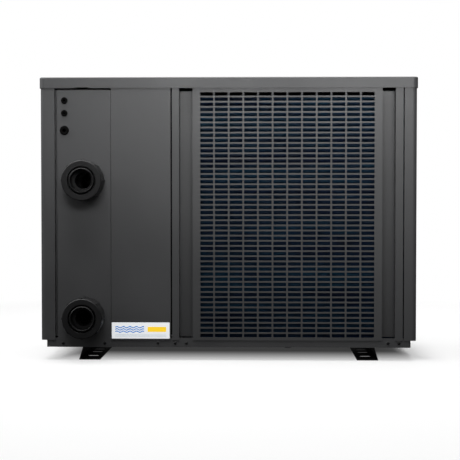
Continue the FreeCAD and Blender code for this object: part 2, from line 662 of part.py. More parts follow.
def vessel(x, y, r, z0, z1, dome, wall):
    outer = turned(capsule(r, z0, z1, dome), x, y, 0)
    inner = turned(capsule(r - wall, z0 + wall, z1 - wall, dome - wall / 2), x, y, 0)
    return outer.cut(inner)


def make_compressor_shell():
    can = vessel(COMPRESSOR_X, COMPRESSOR_Y, SHELL_R, SHELL_Z0, SHELL_Z1, 22.0, SHELL_T)
    plate = prism([(COMPRESSOR_X + PLATE_R * math.cos(math.radians(a)),
                    COMPRESSOR_Y + PLATE_R * math.sin(math.radians(a)))
                   for a in (75, 105, 195, 225, 315, 345)], SHELL_Z0 - 3, SHELL_Z0)
    ring_seat = ring(COMPRESSOR_X, COMPRESSOR_Y, SHELL_Z0 - 0.5, 30.0, 22.0, 4.0)
    plate = plate.cut([rod(x, y, 0, 5.2, 100) for x, y in compressor_bolt_points()])
    return join([can, plate, ring_seat.cut(turned(capsule(SHELL_R - 2, SHELL_Z0 + 2, SHELL_Z1 - 2, 21.0),
                                                   COMPRESSOR_X, COMPRESSOR_Y, 0))])


def make_compressor_mounts():
    """Three rubber grommets between the compressor's base plate and the pan."""
    floor = FOOT_H + SHEET
    outline = [(3.4, floor), (11.0, floor), (9.0, floor + 14), (11.0, SHELL_Z0 - 3), (5.0, SHELL_Z0 - 3),
               (5.0, SHELL_Z0), (8.5, SHELL_Z0), (8.5, SHELL_Z0 + 4), (3.4, SHELL_Z0 + 4)]
    return group([turned(outline, x, y, 0) for x, y in compressor_bolt_points()])


def make_compressor_stator():
    return ring(COMPRESSOR_X, COMPRESSOR_Y, 176.0, SHELL_R - SHELL_T, 33.0, 84.0)


def make_compressor_pump():
    return ring(COMPRESSOR_X, COMPRESSOR_Y, 104.0, SHELL_R - SHELL_T, SHAFT_R + 0.05, 46.0)


def make_compressor_rotor():
    rotor = rod(COMPRESSOR_X, COMPRESSOR_Y, 178.0, 32.4, 80.0)
    shaft = rod(COMPRESSOR_X, COMPRESSOR_Y, 106.0, SHAFT_R, 168.0)
    return join([rotor, shaft])


def make_accumulator():
    can = vessel(COMPRESSOR_X, ACC_Y, ACC_R, 96.0, 300.0, 16.0, 2.0)
    strap = ring(COMPRESSOR_X, ACC_Y, 190.0, ACC_R + 2.0, ACC_R - 0.5, 18.0)
    x = COMPRESSOR_X
    bridge = box(x - 9, x + 9, ACC_Y + ACC_R + 1, COMPRESSOR_Y - SHELL_R, 192.0, 206.0)
    return join([can, strap, bridge])


TUBE_R = 6.0
THIN_R = 4.0


def make_four_way_valve():
    body = rod(COMPRESSOR_X - 45, VALVE_Y, VALVE_Z, 15.0, 90.0, ALONG_X)
    x, z = COMPRESSOR_X, VALVE_Z
    pilot = box(x - 16, x + 16, VALVE_Y - 40, VALVE_Y - 13, z - 14, z + 14)
    stubs = [rod(COMPRESSOR_X + x, VALVE_Y, VALVE_Z - 28, 8.0, 20.0) for x in (-26, 0, 26)]
    top = rod(COMPRESSOR_X, VALVE_Y, VALVE_Z + 8, 8.0, 20.0)
    return join([body, pilot, top] + stubs)


def make_discharge_pipe():
    """From the compressor's crown, over and into the valve's top."""
    top = VALVE_Z + 28
    return pipe_run([(COMPRESSOR_X, COMPRESSOR_Y, SHELL_Z1), (COMPRESSOR_X, COMPRESSOR_Y, top + 30),
                     (COMPRESSOR_X, VALVE_Y, top + 30), (COMPRESSOR_X, VALVE_Y, top)], TUBE_R, 16.0)


def make_suction_pipe():
    """From the valve's middle port down to the accumulator."""
    low = VALVE_Z - 28
    return pipe_run([(COMPRESSOR_X, VALVE_Y, low), (COMPRESSOR_X, VALVE_Y, low - 34),
                     (COMPRESSOR_X, ACC_Y, low - 34), (COMPRESSOR_X, ACC_Y, 300.0)], TUBE_R, 16.0)


def make_exchanger_gas_pipe():
    """From the valve's left port to one riser of the titanium coil."""
    low = VALVE_Z - 28
    x = COMPRESSOR_X - 26
    top = EXCHANGER_Z1 + CAP_T + 14
    end_x = PIPE_X + RISER_X
    return pipe_run([(x, VALVE_Y, low), (x, VALVE_Y, low - 22), (-252.0, VALVE_Y, low - 22),
                     (-252.0, VALVE_Y, top + 20), (end_x, EXCHANGER_Y, top + 20),
                     (end_x, EXCHANGER_Y, top)], TUBE_R, 11.0)


HEADER_X = -98.0
HEADER_Y = -104.0


def make_coil_gas_pipe():
    """From the valve's right port through the partition to the coil's header."""
    low = VALVE_Z - 28
    x = COMPRESSOR_X + 26
    return pipe_run([(x, VALVE_Y, low), (x, VALVE_Y, low - 24), (HEADER_X, VALVE_Y, low - 24),
                     (HEADER_X, HEADER_Y + 9.0, low - 24)], TUBE_R, 14.0)


def make_expansion_valve():
    body = rod(-150.0, -120.0, 500.0 - 72, 11.0, 30.0)
    motor = rod(-150.0, -120.0, 500.0 - 42, 18.0, 28.0)
    return join([body, motor])


def make_liquid_pipe():
    """From the coil's second riser to the expansion valve's foot."""
    top = EXCHANGER_Z1 + CAP_T + 14
    start_x = PIPE_X - RISER_X
    return pipe_run([(start_x, EXCHANGER_Y, top), (start_x, EXCHANGER_Y, top + 12),
                     (start_x, -140.0, top + 12), (-235.0, -140.0, top + 12),
                     (-235.0, -140.0, 405.0), (-150.0, -120.0, 405.0), (-150.0, -120.0, 428.0)], THIN_R, 8.0)


def make_coil_liquid_pipe():
    """From the expansion valve's side through the partition to the coil's foot."""
    return pipe_run([(-139.0, -120.0, 442.0), (-104.0, -120.0, 442.0), (-104.0, -120.0, 80.0),
                     (-90.0, -120.0, 80.0)], THIN_R, 5.0)


COIL_X0 = -73.0
COIL_OUT_Y = -146.0
COIL_THICK = 22.0
COIL_BEND = 28.0
COIL_SIDE_X = 413.5
COIL_SIDE_Y = 112.0


COIL_MID = COIL_THICK / 2
FIN_PITCH = 4.4
FIN_T = 0.6
HAIRPINS = 11
HAIRPIN_PITCH = 50.0
HAIRPIN_R = 12.0
COIL_TUBE_R = 3.5


def make_evaporator_fins():
    """Upright plates along both legs of the coil, fanned round its corner."""
    inner_x = COIL_SIDE_X - COIL_THICK
    inner_y = COIL_OUT_Y + COIL_THICK
    corner_x = inner_x - COIL_BEND
    corner_y = inner_y + COIL_BEND
    fins = []
    for i in range(int((corner_x - COIL_X0) / FIN_PITCH)):
        x = COIL_X0 + 1.5 + FIN_PITCH * i
        fins.append(box(x, x + FIN_T, COIL_OUT_Y, inner_y, COIL_Z0, COIL_Z1))
    for i in range(int((COIL_SIDE_Y - corner_y) / FIN_PITCH)):
        y = corner_y + FIN_PITCH * (i + 1) - 2.0
        fins.append(box(inner_x, COIL_SIDE_X, y, y + FIN_T, COIL_Z0, COIL_Z1))
    for i in range(14):
        fin = box(COIL_BEND, COIL_BEND + COIL_THICK, -FIN_T / 2, FIN_T / 2, COIL_Z0, COIL_Z1)
        fin.rotate(V(0, 0, 0), UP, -3.5 - 6.4 * i)
        fin.translate(V(corner_x, corner_y, 0))
        fins.append(fin)
    return group(fins)


def coil_rows():
    """Heights of the lower and upper leg of each hairpin."""
    first = COIL_Z0 + 26
    return [(first + HAIRPIN_PITCH * i, first + HAIRPIN_PITCH * i + 2 * HAIRPIN_R) for i in range(HAIRPINS)]


def make_evaporator_end_plates():
    inner_y = COIL_OUT_Y + COIL_THICK
    floor = FOOT_H + SHEET
    left = box(COIL_X0 - 1.2, COIL_X0, COIL_OUT_Y - 1, inner_y + 6, floor, COIL_Z1 + 6)
    x0, x1 = COIL_SIDE_X - COIL_THICK - 6, COIL_SIDE_X + 1
    right = box(x0, x1, COIL_SIDE_Y, COIL_SIDE_Y + 1.2, floor, COIL_Z1 + 6)
    heights = [z for pair in coil_rows() for z in pair]
    left = left.cut([rod(COIL_X0 - 5, COIL_OUT_Y + COIL_MID, z, COIL_TUBE_R, 10, ALONG_X) for z in heights])
    middle = COIL_SIDE_X - COIL_MID
    right = right.cut([rod(middle, COIL_SIDE_Y - 5, z, COIL_TUBE_R, 10, ALONG_Y) for z in heights])
    return group([left, right])


def make_evaporator_tubes():
    """Hairpins: a bend outside each end of the coil and L-shaped legs through the fins; and the header."""
    x = COIL_X0 - 1.2
    y = COIL_OUT_Y + COIL_MID
    side_x = COIL_SIDE_X - COIL_MID
    side_y = COIL_SIDE_Y + 1.2
    tubes = []
    for low, high in coil_rows():
        bend = Part.makeTorus(HAIRPIN_R, COIL_TUBE_R, V(x, y, low + HAIRPIN_R), ALONG_Y)
        left = bend.common(box(x - 20, x, y - 10, y + 10, low - 10, high + 10))
        bend = Part.makeTorus(HAIRPIN_R, COIL_TUBE_R, V(side_x, side_y, low + HAIRPIN_R), ALONG_X)
        right = bend.common(box(side_x - 10, side_x + 10, side_y, side_y + 20, low - 10, high + 10))
        corner_r = COIL_BEND + COIL_MID
        legs = [pipe_run([(x, y, z), (side_x, y, z), (side_x, side_y, z)], COIL_TUBE_R, corner_r)
                for z in (low, high)]
        tubes += [left, right] + legs
    tall = rod(HEADER_X, HEADER_Y, 70.0, 9.0, 500.0)
    feeders = [rod(HEADER_X, HEADER_Y, z, COIL_TUBE_R, x - HEADER_X, ALONG_X) for z in range(100, 560, 90)]
    tail = box(x - 1.8, x, COIL_OUT_Y + COIL_THICK - 1, HEADER_Y + 4, 90.0, 560.0)
    return group(tubes + [join([tall, tail] + feeders)])


def make_partition():
    """Wall between the dry side and the fan side, with flanges to both faces."""
    floor = FOOT_H + SHEET
    top = 619.0
    wall = box(PARTITION_X, PARTITION_X + SHEET, -173.0, 174.0, floor, top)
    rear = box(PARTITION_X - 22, PARTITION_X + SHEET, -164.8, -163.3, RIM_CLEAR_Z, top)
    front = box(PARTITION_X, PARTITION_X + 18, 172.5, 174.0, floor, top)
    low = VALVE_Z - 52
    cuts = [
        rod(PARTITION_X - 5, VALVE_Y, low, TUBE_R + 1.0, 12, ALONG_X),
        rod(PARTITION_X - 5, -120.0, 442.0, THIN_R + 1.0, 12, ALONG_X),
        box(PARTITION_X - 5, PARTITION_X + 5, HEATSINK_Y0, HEATSINK_Y1, HEATSINK_Z0, HEATSINK_Z1),
        box(PARTITION_X - 5, PARTITION_X + 5, -180.0, -164.9, floor - 1, top + 1)]
    return join([wall, rear, front]).cut(cuts)


# ---- electrics ----
HEATSINK_Y0 = -50.0
HEATSINK_Y1 = 60.0
HEATSINK_Z0 = 520.0
HEATSINK_Z1 = 596.0
EBOX = (-386.0, -127.0, -70.0, 140.0, 508.0, 612.0)


def make_electrical_box():
    x0, x1, y0, y1, z0, z1 = EBOX
    inside = box(x0 + SHEET, x1 - SHEET, y0 + SHEET, y1 - SHEET, z0 + SHEET, z1 + 1)
    tray = box(x0, x1, y0, y1, z0, z1).cut(inside)
    ears = box(x0 - 38, x0, y0 + 40, y0 + 70, z1 - 20, z1 - 18.5)
    window = box(x1 - 5, x1 + 5, HEATSINK_Y0, HEATSINK_Y1, HEATSINK_Z0, HEATSINK_Z1)
    cable_way = rod(x0 + 30, y0 - 5, z0 + 40, 12.0, 10.0, ALONG_Y)
    return join([tray, ears]).cut([window, cable_way])


def make_electrical_cover():
    x0, x1, y0, y1, _, z1 = EBOX
    lid = box(x0 - 2, x1 + 2, y0 - 2, y1 + 2, z1, z1 + SHEET)
    skirt = box(x0 - 2, x1 + 2, y0 - 2, y1 + 2, z1 - 8, z1 + SHEET)
    skirt = skirt.cut(box(x0 - 0.4, x1 + 0.4, y0 - 0.4, y1 + 0.4, z1 - 9, z1))
    slot = box(x0 - 5, x0 + 1, y0 + 30, y0 + 80, z1 - 9, z1 - 2)
    trim = box(x1 + 0.4, x1 + 5, y0 - 5, y1 + 5, z1 - 9, z1 + 5)
    return lid.fuse(skirt).removeSplitter().cut([slot, trim])


def make_inverter_board():
    x0, x1, y0, y1, z0, _ = EBOX
    board = box(x0 + 12, x1 - 12, y0 + 12, y1 - 12, z0 + 9, z0 + 10.6)
    legs = [rod(x, y, z0 + SHEET, 3.0, 7.5) for x in (x0 + 20, x1 - 20) for y in (y0 + 20, y1 - 20)]
    capacitors = [rod(x0 + 60 + 34 * i, y1 - 50, z0 + 10.6, 14.0, 46.0) for i in range(4)]
    choke = ring(x1 - 60, y0 + 52, z0 + 10.6, 24.0, 11.0, 22.0)
    starts = [x0 + 40 + 30 * i for i in range(3)]
    relays = [box(x, x + 20, y0 + 24, y0 + 50, z0 + 10.6, z0 + 28.0) for x in starts]
    return join([board, choke] + legs + capacitors + relays)


def make_heat_sink():
    """Finned block that reaches through the partition into the air stream."""
    x = EBOX[1] - 8
    gap = 0.3
    base = box(x, x + 22, HEATSINK_Y0 + gap, HEATSINK_Y1 - gap, HEATSINK_Z0 + gap, HEATSINK_Z1 - gap)
    fins = [box(x + 22, x + 56, y, y + 2.2, HEATSINK_Z0 + 2, HEATSINK_Z1 - 2)
            for y in [HEATSINK_Y0 + 3 + 8.4 * i for i in range(13)]]
    return join([base] + fins)


def make_cable_grommets():
    """Three bushings snapped into the pipe panel."""
    bushes = []
    for z, rim, hole in GLANDS:
        y = -FACE_Y
        outline = [(hole, y + 3.2), (rim - 1.0, y + 3.2), (rim, y + 2.0), (rim, y), (rim - 1.8, y),
                   (rim - 1.8, y - SHEET),
                   (rim - 0.6, y - SHEET), (rim - 1.6, y - 7.0), (hole, y - 7.0)]
        bushes.append(turned(outline, GLAND_X, 0, z, V(0, -1, 0)))
    return group(bushes)


BEZEL_W = 150.0
BEZEL_H = 104.0
BEZEL_Y = BODY_Y + 7.0
BUTTON_Z = CONTROL_Z - 29.0
BUTTON_R = 6.0
BUTTON_PITCH = 28.0
BUTTON_NAMES = ("power", "mode", "down", "up")
DISPLAY = (92.0, 40.0)
DISPLAY_Z = CONTROL_Z + 10.0
HINGE_Z = CONTROL_Z + BEZEL_H / 2 - 6.0
HINGE_Y = BEZEL_Y + 4.6
HINGE_PIN_R = 1.5


def button_x(index):
    return CONTROL_X + BUTTON_PITCH * (1.5 - index)


def make_control_bezel():
    """Moulded frame on the front panel, with a cup behind it and two hinge ears."""
    x, z = CONTROL_X, CONTROL_Z
    face = box(x - BEZEL_W / 2, x + BEZEL_W / 2, BODY_Y, BEZEL_Y, z - BEZEL_H / 2, z + BEZEL_H / 2)
    upright = [e for e in face.Edges if abs(e.tangentAt(e.FirstParameter).y) > 0.9]
    face = face.makeFillet(8.0, upright)
    cup = box(x - 65.5, x + 65.5, BODY_Y - 18, BODY_Y, z - 41.5, z + 41.5)
    ears = []
    for ear_x in (x - 66.0, x + 66.0):
        round_part = rod(ear_x - 3, HINGE_Y, HINGE_Z, 3.4, 6.0, ALONG_X)
        stalk = box(ear_x - 3, ear_x + 3, BEZEL_Y, HINGE_Y, HINGE_Z - 3.4, HINGE_Z + 3.4)
        ears.append(round_part.fuse(stalk))
    hollow = box(x - 63.5, x + 63.5, BODY_Y - 30, BEZEL_Y - 3.0, z - 39.5, z + 39.5)
    w, h = DISPLAY
    window = box(CONTROL_X - w / 2, CONTROL_X + w / 2, 0, 300, DISPLAY_Z - h / 2, DISPLAY_Z + h / 2)
    pin = rod(CONTROL_X - 68, HINGE_Y, HINGE_Z, HINGE_PIN_R + 0.06, 136, ALONG_X)
    bores = [rod(button_x(i), 0, BUTTON_Z, BUTTON_R + 0.4, 300, ALONG_Y) for i in range(len(BUTTON_NAMES))]
    return join([face, cup] + ears).cut([hollow, window, pin] + bores)


def make_display_window():
    w, h = DISPLAY
    x, z, y = CONTROL_X, DISPLAY_Z, BEZEL_Y
    lens = box(x - w / 2, x + w / 2, y - 3.0, y - 1.0, z - h / 2, z + h / 2)
    back = box(x - w / 2 - 4, x + w / 2 + 4, y - 6.0, y - 3.0, z - h / 2 - 3, z + h / 2 + 3)
    return join([lens, back])


def make_control_board():
    y = BODY_Y - 16.0
    board = box(CONTROL_X - 62, CONTROL_X + 62, y, y + 1.6, CONTROL_Z - 38, CONTROL_Z + 38)
    places = [button_x(i) for i in range(len(BUTTON_NAMES))]
    switches = [box(x - 3, x + 3, y + 1.6, y + 6.4, BUTTON_Z - 3, BUTTON_Z + 3) for x in places]
    return join([board] + switches)


def make_button(index):
    """Push button: a crowned cap on a stem that reaches its switch."""
    head_y = BEZEL_Y + 1.2
    cap = rod(button_x(index), BEZEL_Y - 2.6, BUTTON_Z, BUTTON_R, head_y - BEZEL_Y + 2.6, ALONG_Y)
    rim = [e for e in cap.Edges if e.BoundBox.YMin > head_y - 0.01]
    cap = cap.makeFillet(0.7, rim)
    stem_y = BODY_Y - 8.2
    stem = rod(button_x(index), stem_y, BUTTON_Z, 2.0, BEZEL_Y - 2.6 - stem_y, ALONG_Y)
    return join([cap, stem])


COVER_W = 124.0
COVER_T = 2.0
COVER_GAP = 2.6


def make_control_cover():
    """Clear flip cover; stubs at the ends of its barrel turn in the bezel's ears."""
    y0 = BEZEL_Y + COVER_GAP
    z0 = CONTROL_Z - BEZEL_H / 2 + 3.0
    sheet = box(CONTROL_X - COVER_W / 2, CONTROL_X + COVER_W / 2, y0, y0 + COVER_T, z0, HINGE_Z)
    through = [e for e in sheet.Edges if abs(e.tangentAt(e.FirstParameter).y) > 0.9]
    low = [e for e in through if e.BoundBox.ZMax < z0 + 1]
    sheet = sheet.makeFillet(7.0, low)
    barrel = rod(CONTROL_X - COVER_W / 2, HINGE_Y, HINGE_Z, 3.2, COVER_W, ALONG_X)
    tab = box(CONTROL_X - 12, CONTROL_X + 12, y0, y0 + 5.0, z0 - 2.5, z0 + 1.0)
    stubs = rod(CONTROL_X - 67.5, HINGE_Y, HINGE_Z, HINGE_PIN_R, 135, ALONG_X)
    return join([sheet, barrel, tab, stubs])


# ---- fan ----
MOTOR_R = 46.0
MOTOR_Y0 = 22.0
MOTOR_Y1 = 92.0
FAN_SHAFT_R = 6.0
HUB_Y0 = 102.0
HUB_Y1 = 146.0
BLADE_Y = 128.0
BRACKET_X = 62.0


def make_fan_motor():
    can = rod(FAN_X, MOTOR_Y0, FAN_Z, MOTOR_R, MOTOR_Y1 - MOTOR_Y0, ALONG_Y)
    rims = [e for e in can.Edges if e.BoundBox.YLength < 0.01]
    can = can.makeFillet(5.0, rims)
    reach = BRACKET_X + 8
    ears = [box(FAN_X - reach, FAN_X + reach, MOTOR_Y0 + 8, MOTOR_Y0 + 12, z - 9, z + 9)
            for z in (FAN_Z - 28, FAN_Z + 28)]
    return join([can] + ears).cut(rod(FAN_X, MOTOR_Y0 + 30, FAN_Z, FAN_SHAFT_R + 0.05, 80, ALONG_Y))


def make_motor_bracket():
    """Two upright channels with a foot and a top tie."""
    floor = FOOT_H + SHEET
    parts = []
    for side in (-1, 1):
        x = FAN_X + side * BRACKET_X
        post = box(x - 14, x + 14, MOTOR_Y0 - 16, MOTOR_Y0 + 8, floor, 618.0)
        post = post.cut(box(x - 12.5, x + 12.5, MOTOR_Y0 - 17, MOTOR_Y0 + 6.5, floor + 2, 616.0))
        parts.append(post)
        parts.append(box(x - 14, x + 14, MOTOR_Y0 - 40, MOTOR_Y0 + 30, floor, floor + 2))
    parts.append(box(FAN_X - BRACKET_X, FAN_X + BRACKET_X, MOTOR_Y0 - 16, MOTOR_Y0 + 8, 616.5, 618.0))
    return join(parts)


def make_fan_shaft():
    return rod(FAN_X, MOTOR_Y0 + 31, FAN_Z, FAN_SHAFT_R, 106.0, ALONG_Y)


def blade_section(radius, chord, pitch, sweep, thick):
    """Thin slanted section of a blade, square to its radius."""
    slope = math.radians(pitch)
    along = V(math.cos(slope), math.sin(slope), 0)
    across = V(-math.sin(slope), math.cos(slope), 0)
    middle = V(sweep, BLADE_Y, radius)
    signs = ((-1, -1), (1, -1), (1, 1), (-1, 1))
    corners = [middle + along * (s * chord / 2) + across * (t * thick / 2) for s, t in signs]
    return Part.makePolygon(corners + corners[:1])


def make_fan_blade():
    """Moulded fan: a hub cup and swept, twisted blades trimmed to the tip circle."""
    sections = [
        blade_section(38.0, 62.0, 33.0, 0.0, 5.0),
        blade_section(90.0, 104.0, 28.0, 6.0, 4.2),
        blade_section(140.0, 138.0, 23.0, 16.0, 3.4),
        blade_section(190.0, 164.0, 19.0, 30.0, 2.8),
        blade_section(225.0, 170.0, 17.0, 42.0, 2.4)]
    blade = Part.makeLoft(sections, True)
    hub = rod(0, HUB_Y0, 0, 46.0, HUB_Y1 - HUB_Y0, ALONG_Y)
    rim = [e for e in hub.Edges if e.BoundBox.YMin > HUB_Y1 - 0.01]
    hub = hub.makeFillet(6.0, rim)
    cup = ring(0, HUB_Y0 - 1, 0, 41.0, 14.0, HUB_Y1 - HUB_Y0 - 5, ALONG_Y)
    disc = rod(0, 0, 0, FAN_R, 300, ALONG_Y)
    core = rod(0, 0, 0, 43.0, 300, ALONG_Y)
    blades = []
    for i in range(FAN_BLADES):
        turned_blade = blade.common(disc).cut(core)
        turned_blade.rotate(V(0, 0, 0), ALONG_Y, 360.0 / FAN_BLADES * i)
        blades.append(turned_blade)
    fan = join([hub.cut(cup)] + blades).cut(rod(0, 0, 0, FAN_SHAFT_R, 300, ALONG_Y))
    fan.translate(V(FAN_X, 0, FAN_Z))
    return fan


def make_hub_nut():
    angles = [math.radians(60 * i) for i in range(6)]
    corners = [V(FAN_X + 12 * math.cos(a), HUB_Y1, FAN_Z + 12 * math.sin(a)) for a in angles]
    nut = Part.Face(Part.makePolygon(corners + corners[:1])).extrude(V(0, 9.0, 0))
    return nut.cut(rod(FAN_X, HUB_Y1 - 1, FAN_Z, FAN_SHAFT_R, 30, ALONG_Y))


# ---- all sub-parts ----
UNIONS = (("low", PIPE_Z_LOW, -11.0), ("high", PIPE_Z_HIGH, 1.0))

NODES = {
    "top_lid": make_top_lid(),
    "side_panel_left": make_side_panel_left(),
    "side_panel_right": make_side_panel_right(),
    "side_handles": make_side_handles(),
    "base_pan": make_base_pan(),
    "rear_pipe_panel": make_rear_pipe_panel(),
    "rear_service_panel": make_rear_service_panel(),
    "rear_grille_panel": make_rear_grille_panel(),
    "front_panel": make_front_panel(),
    "partition": make_partition(),
    "foot_rail_left": make_foot_rail(-1),
    "foot_rail_right": make_foot_rail(1),
    "base_bolts": make_base_bolts(),
    "panel_screws": make_panel_screws(),
    "label_plate": make_label_plate(),
    "cable_grommets": make_cable_grommets(),
    "drain_spigot": make_drain_spigot(),
    "union_seals": make_union_seals(),
    "water_pipes": make_water_pipes(),
    "flow_switch": make_flow_switch(),
    "flow_paddle": make_flow_paddle(),
    "exchanger_shell": make_exchanger_shell(),
    "exchanger_caps": make_exchanger_caps(),
    "titanium_coil": make_titanium_coil(),
    "compressor_shell": make_compressor_shell(),
    "compressor_mounts": make_compressor_mounts(),
    "compressor_stator": make_compressor_stator(),
    "compressor_pump": make_compressor_pump(),
    "compressor_rotor": make_compressor_rotor(),
    "accumulator": make_accumulator(),
    "four_way_valve": make_four_way_valve(),
    "expansion_valve": make_expansion_valve(),
    "refrigerant_pipes": group([make_discharge_pipe(), make_suction_pipe(), make_exchanger_gas_pipe(),
                                make_coil_gas_pipe(), make_liquid_pipe(), make_coil_liquid_pipe()]),
    "evaporator_fins": make_evaporator_fins(),
    "evaporator_end_plates": make_evaporator_end_plates(),
    "evaporator_tubes": make_evaporator_tubes(),
    "electrical_box": make_electrical_box(),
    "electrical_cover": make_electrical_cover(),
    "inverter_board": make_inverter_board(),
    "heat_sink": make_heat_sink(),
    "control_bezel": make_control_bezel(),
    "control_board": make_control_board(),
    "display_window": make_display_window(),
    "control_cover": make_control_cover(),
    "fan_guard": make_fan_guard(),
    "fan_motor": make_fan_motor(),
    "motor_bracket": make_motor_bracket(),
    "fan_shaft": make_fan_shaft(),
    "fan_blade": make_fan_blade(),
    "hub_nut": make_hub_nut(),
}
for where, height, turn in UNIONS:
    NODES["union_base_" + where] = make_union_base(height, turn)
    NODES["union_tail_" + where] = make_union_tail(height)
    NODES["union_nut_" + where] = make_union_nut(height)
for number, button in enumerate(BUTTON_NAMES):
    NODES["button_" + button] = make_button(number)

os.makedirs("parts", exist_ok=True)
for node, shape in NODES.items():
    save(node, shape)
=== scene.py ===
"""Looks of the pool heat pump unit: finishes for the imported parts, and the fine pieces on them."""
import json
import math

import bmesh
import bpy
import numpy as np
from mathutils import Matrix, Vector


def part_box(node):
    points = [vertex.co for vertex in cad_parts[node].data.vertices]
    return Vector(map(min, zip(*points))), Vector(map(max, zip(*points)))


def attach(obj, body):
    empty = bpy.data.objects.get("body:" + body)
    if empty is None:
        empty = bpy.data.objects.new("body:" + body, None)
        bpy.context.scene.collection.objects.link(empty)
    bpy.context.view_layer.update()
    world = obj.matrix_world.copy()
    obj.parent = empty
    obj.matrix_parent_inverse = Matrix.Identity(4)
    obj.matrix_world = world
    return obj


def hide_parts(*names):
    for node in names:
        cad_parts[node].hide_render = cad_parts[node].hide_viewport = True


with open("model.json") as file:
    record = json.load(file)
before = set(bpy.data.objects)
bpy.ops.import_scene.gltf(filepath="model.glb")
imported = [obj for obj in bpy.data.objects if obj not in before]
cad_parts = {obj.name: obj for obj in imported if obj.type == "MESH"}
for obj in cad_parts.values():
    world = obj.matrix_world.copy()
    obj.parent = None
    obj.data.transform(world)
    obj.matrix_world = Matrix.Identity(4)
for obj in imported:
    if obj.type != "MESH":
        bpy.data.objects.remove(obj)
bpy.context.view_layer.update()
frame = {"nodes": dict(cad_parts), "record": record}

MM = 0.001
NODES = frame["nodes"]
SLOT_OF = {row["node"]: row["material_slot"] for row in frame["record"]["subparts"]}


def centre(node):
    low, high = (np.array(p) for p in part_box(node))
    return (low + high) / 2


def corner_low(node):
    return np.array(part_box(node)[0])


def corner_high(node):
    return np.array(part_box(node)[1])


# ---------------------------------------------------------------- camera, light and floor
LENS_MM = 100.0
EYE = (0.075, -3.093, 0.387)
YAW = math.radians(1.39)
PITCH = math.radians(1.72)
SENSOR_MM = 36.0
SKY_POWER = 0.10
KEY_WATTS = 2.9
STRIP_WATTS = 1.8
OVERHEAD_WATTS = 44
FAN_SIDE_WATTS = 14


def add_camera():
    data = bpy.data.cameras.new("camera")
    data.lens = LENS_MM
    data.sensor_width = SENSOR_MM
    data.clip_end = 60.0
    camera = bpy.data.objects.new("camera", data)
    camera.location = EYE
    camera.rotation_euler = (math.pi / 2 - PITCH, 0, YAW)
    bpy.context.collection.objects.link(camera)
    bpy.context.scene.camera = camera


def add_area_light(name, place, target, size, power, spread=180):
    data = bpy.data.lights.new(name, "AREA")
    data.shape = "RECTANGLE"
    data.size, data.size_y = size
    data.energy = power
    data.spread = math.radians(spread)
    lamp = bpy.data.objects.new(name, data)
    lamp.location = place
    aim = bpy.data.objects.new(name + "_aim", None)
    aim.location = target
    direction = aim.location - lamp.location
    lamp.rotation_euler = direction.to_track_quat("-Z", "Y").to_euler()
    bpy.data.objects.remove(aim)
    bpy.context.collection.objects.link(lamp)


def add_world():
    """White where the camera looks straight at it, and a weaker sky for everything that it lights."""
    world = bpy.data.worlds.new("studio")
    world.use_nodes = True
    nodes, links = world.node_tree.nodes, world.node_tree.links
    back = nodes["Background"]
    path = nodes.new("ShaderNodeLightPath")
    strength = nodes.new("ShaderNodeMapRange")
    strength.inputs["To Min"].default_value = SKY_POWER
    strength.inputs["To Max"].default_value = 1.0
    links.new(path.outputs["Is Camera Ray"], strength.inputs["Value"])
    links.new(strength.outputs["Result"], back.inputs["Strength"])
    back.inputs["Color"].default_value = (1, 1, 1, 1)
    bpy.context.scene.world = world


FLOOR_SIZE = 14.0
FLOOR_BOUNCE = 0.04
CORE_GLOW = 0.04            # how much of the floor glows by itself right under the unit, kept low to paint the unit's shadow there
NEAR_GLOW = 0.80
PAINTED_SHADOW_CENTRE = (0.03, 0.05)
PAINTED_SHADOW_X = (0.35, 0.49)      # painted shadow on the floor, from deep to none, each side of the middle
PAINTED_SHADOW_Y = (0.0, 0.33)
FLOOR_FADE = (0.7, 1.7)     # plain white from the second radius on


